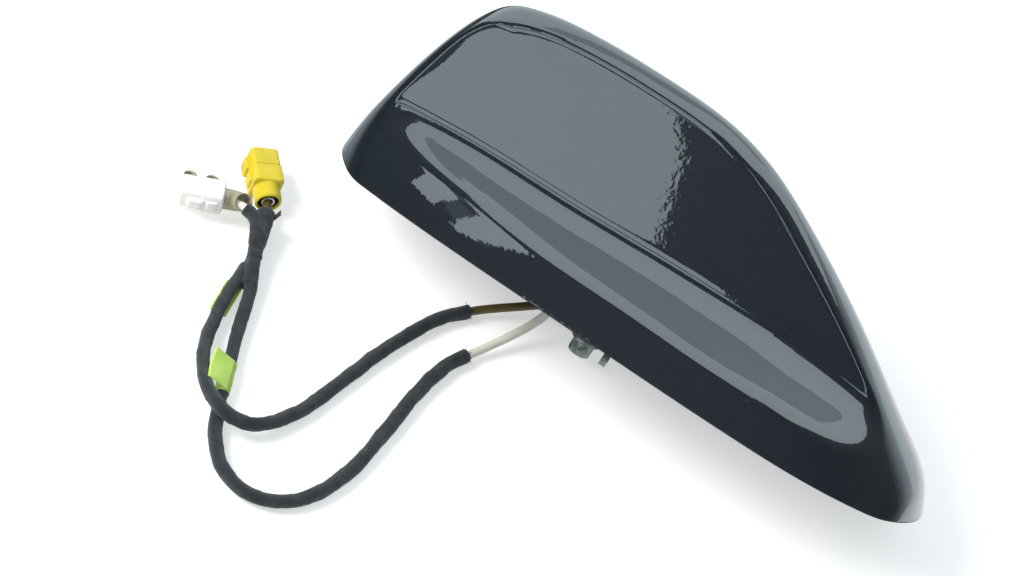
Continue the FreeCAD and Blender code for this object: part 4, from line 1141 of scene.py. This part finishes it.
def make_card(name, points, faces, glow):
    """A glowing card that only shiny finishes mirror."""
    made = bpy.data.materials.new(name)
    made.use_nodes = True
    tree = made.node_tree
    tree.nodes.clear()
    light = add(tree, "Emission", {"Color": (*SKY_TINT, 1.0), "Strength": glow})
    out = add(tree, "OutputMaterial")
    tree.links.new(light.outputs["Emission"], out.inputs["Surface"])
    card = mesh_piece(name, points, faces, made, smooth=False)
    card.visible_camera = False
    card.visible_diffuse = False
    card.visible_shadow = False


def ray_glow(tree, ray, glow, rest):
    """A glow for one kind of ray, added to the rest."""
    return add(tree, "Math", {0: ray, 1: glow, 2: rest}, operation="MULTIPLY_ADD").outputs[0]


def make_board(name, edges, distance, glow):
    """A card bent round the fin. edges: turn, lower height and upper height, in degrees."""
    points = []
    for turn, low, high in edges:
        points += [sky_spot(turn, low, distance), sky_spot(turn, high, distance)]
    make_card(name, points, [(2 * k, 2 * k + 2, 2 * k + 3, 2 * k + 1) for k in range(len(edges) - 1)], glow)


SKY_TINT = (0.79, 0.93, 1.0)
SKY_GLOW = 1.5
PLAIN_GLOW = 0.62
DARK_GLOW = 0.06
HAZE_GLOW = DARK_GLOW * 4
OPENING_GLOW = SKY_GLOW * 1.1
CLOUD_GLOW = SKY_GLOW * 0.56
# boards that overlap stand a little nearer or farther off
BOARD_DISTANCE = 1.5
# dark house that the flank's nose end mirrors
make_board("house_board", [
    (-90, 34.1, 34.6), (-88.6, 32.8, 35), (-87.6, 29.5, 35.5), (-86.7, 20, 36), (-86.2, 2, 36), (-84, 2, 40),
    (-80, 2, 62), (-70, 2, 70), (-55, 2, 70),
], 1.53, DARK_GLOW)
# dark line above the sky that the flank mirrors, wider towards the tail
make_board("gutter_board", [
    (-128, 23, 51), (-125, 24, 50), (-110, 31, 45), (-102, 35, 40), (-95, 35.4, 38.4), (-86, 35.6, 38),
], 1.52, DARK_GLOW)
make_board("wire_board", [
    (-140, 53, 56), (-115, 53, 56), (-90, 54, 57), (-65, 56, 59), (-40, 58, 61),
], BOARD_DISTANCE, DARK_GLOW)
# roof over the skirt with two openings
make_board("roof_board", [
    (-180, 40, 78), (-150, 45, 77), (-135, 50, 76), (-124, 58, 76), (-115, 61, 77), (-104, 63, 79),
    (-97, 65, 79.5), (-85, 65.3, 79.5), (-70, 65.5, 79.5), (-50, 66, 79.5), (-33, 63, 82), (-20, 58, 82),
    (0, 54, 81), (10, 42, 80),
], BOARD_DISTANCE, DARK_GLOW)
make_board("roof_haze", [(-142, 58, 66), (-132, 57, 67), (-122, 62, 69)], 1.47, HAZE_GLOW)
make_board("near_opening", [
    (-141, 58.6, 59.6), (-136, 56.6, 63.2), (-131, 55, 61.6), (-124, 57.4, 60),
], 1.45, OPENING_GLOW)
make_board("far_opening", [
    (-132, 66.8, 68), (-126.5, 64.4, 68.4), (-119.5, 61.5, 67.4), (-112, 63, 64.6),
], 1.45, OPENING_GLOW)
# wall beyond the nose
make_board("wall_board", [
    (-40, 0, 60), (-15, 0, 60), (8, -3, 74), (14, -3, 71), (20, 0, 68), (26, 12, 65), (30, 20, 63),
    (34, 28, 59), (36.5, 32, 42), (38, 34, 36),
], BOARD_DISTANCE, DARK_GLOW)
# haze along the wall's slanting edge: the turns where a strip meets the horizon, and its glow
HAZE_STRIPS = [(20, 23, 0.17), (23, 26, 0.33), (26, 29, 0.52), (29, 33, 0.72), (33, 37, 0.9)]
HAZE_TOP = 34.0
HAZE_SLANT = 2
HAZE_EDGES = 9
for start, end, haze_glow in HAZE_STRIPS:
    haze = []
    for turn in np.linspace(start, end + HAZE_TOP / HAZE_SLANT, HAZE_EDGES):
        low = min(HAZE_SLANT * (turn - end), HAZE_TOP)
        high = min(HAZE_SLANT * (turn - start), HAZE_TOP)
        haze.append((turn, low, high))
    make_board("haze_" + str(start), haze, BOARD_DISTANCE, haze_glow)
# dark shed behind the tail
make_board("shed_board", [
    (-212, -3, 10), (-200, -3, 30), (-190, -3, 42), (-180, -3, 44), (-165, -3, 46), (-150, -3, 50),
    (-146, -3, 54),
], 1.52, DARK_GLOW)
# greyer sky that the shelf mirrors
make_board("cloud_board", [
    (56, 40, 49), (62, 40, 50), (70, 40, 50.5), (74, 39, 51), (77, 39, 52.5), (79, 39, 54.5), (82, 40, 58.5),
    (85, 42, 61.5), (90, 46, 63), (95, 50, 64), (100, 52, 64.5), (105, 55, 66), (110, 58, 68), (117, 60, 69),
    (123, 60, 70.5), (130, 62, 73), (143, 64, 73),
], 1.55, CLOUD_GLOW)
# table behind the tail, darker with distance: from and to along X, and glow
TAIL_MATS = [
    (-0.122, -0.09, 0.62), (-0.136, -0.122, 0.42), (-0.148, -0.136, 0.25), (-0.160, -0.148, 0.12),
    (-1.4, -0.160, DARK_GLOW),
]
MAT_NEAR = -0.02
MAT_FAR = 0.45
MAT_HEIGHT = 0.0008
for number, (left, right, mat_glow) in enumerate(TAIL_MATS):
    corners = [
        (left, MAT_NEAR, MAT_HEIGHT), (right, MAT_NEAR, MAT_HEIGHT),
        (right, MAT_FAR, MAT_HEIGHT), (left, MAT_FAR, MAT_HEIGHT),
    ]
    make_card("tail_mat_" + str(number + 1), corners, [(0, 1, 2, 3)], mat_glow)

# white table that glows a little to the camera and to shiny finishes
TABLE_HALF = 3.0
TABLE_DROP = 0.0002
TABLE_SEEN_GLOW = 0.48
TABLE_MIRRORED_GLOW = 0.6
table_finish, table_tree, table_shader = finish_material("white_table", 0.75)
table_shader.inputs["Base Color"].default_value = (0.80, 0.77, 0.75, 1.0)
table_path = add(table_tree, "LightPath")
seen_glow = ray_glow(table_tree, table_path.outputs["Is Camera Ray"], TABLE_SEEN_GLOW, 0.0)
table_glow = ray_glow(table_tree, table_path.outputs["Is Glossy Ray"], TABLE_MIRRORED_GLOW, seen_glow)
table_shader.inputs["Emission Color"].default_value = (1.0, 1.0, 1.0, 1.0)
table_tree.links.new(table_glow, table_shader.inputs["Emission Strength"])
table_corners = [
    (-TABLE_HALF, -TABLE_HALF, 0), (TABLE_HALF, -TABLE_HALF, 0),
    (TABLE_HALF, TABLE_HALF, 0), (-TABLE_HALF, TABLE_HALF, 0),
]
table = mesh_piece("table", table_corners, [(0, 1, 2, 3)], table_finish, smooth=False)
table.location.z = -TABLE_DROP

scene = bpy.context.scene
scene.view_settings.view_transform = "Standard"
world = bpy.data.worlds.new("studio")
scene.world = world
world.use_nodes = True
sky_tree = world.node_tree
sky_path = add(sky_tree, "LightPath")
background = sky_tree.nodes["Background"]
# white to the camera, a tinted sky to shiny finishes, and a plain level for the rest
sky_colour = add(sky_tree, "MixRGB", {"Fac": sky_path.outputs["Is Camera Ray"], "Color1": (*SKY_TINT, 1.0),
                                      "Color2": (1.0, 1.0, 1.0, 1.0)})
sky_shine = ray_glow(sky_tree, sky_path.outputs["Is Glossy Ray"], SKY_GLOW - PLAIN_GLOW, PLAIN_GLOW)
sky_glow = ray_glow(sky_tree, sky_path.outputs["Is Camera Ray"], 1.0 - PLAIN_GLOW, sky_shine)
sky_tree.links.new(sky_colour.outputs["Color"], background.inputs["Color"])
sky_tree.links.new(sky_glow, background.inputs["Strength"])


def make_lamp(name, place, aim, wide, power):
    """A round soft lamp that shiny finishes don't mirror."""
    lamp = bpy.data.lights.new(name, "AREA")
    lamp.shape = "DISK"
    lamp.size = wide
    lamp.energy = power
    thing = bpy.data.objects.new(name, lamp)
    thing.location = place
    thing.rotation_euler = (Vector(aim) - Vector(place)).to_track_quat("-Z", "Y").to_euler()
    bpy.context.collection.objects.link(thing)
    thing.visible_glossy = False


LAMP_PLACE = (-0.84, -0.42, 0.76)
LAMP_AIM = (-0.02, -0.03, 0.02)
LAMP_WIDTH = 0.5
LAMP_POWER = 12.5
make_lamp("key_lamp", LAMP_PLACE, LAMP_AIM, LAMP_WIDTH, LAMP_POWER)

CAMERA_LENS = 83.7
CAMERA_SENSOR = 36.0
CAMERA_PLACE = (-0.0368, -0.5013, 0.5213)
CAMERA_RIGHT = Vector((0.8425, 0.3868, 0.3750))
CAMERA_UP = Vector((-0.5388, 0.6050, 0.5864))
camera_data = bpy.data.cameras.new("camera")
camera_data.lens = CAMERA_LENS
camera_data.sensor_width = CAMERA_SENSOR
camera = bpy.data.objects.new("camera", camera_data)
bpy.context.collection.objects.link(camera)
camera_back = CAMERA_RIGHT.cross(CAMERA_UP)
camera_turn = Matrix((CAMERA_RIGHT, CAMERA_UP, camera_back)).transposed().to_4x4()
camera.matrix_world = Matrix.Translation(CAMERA_PLACE) @ camera_turn
scene.camera = camera
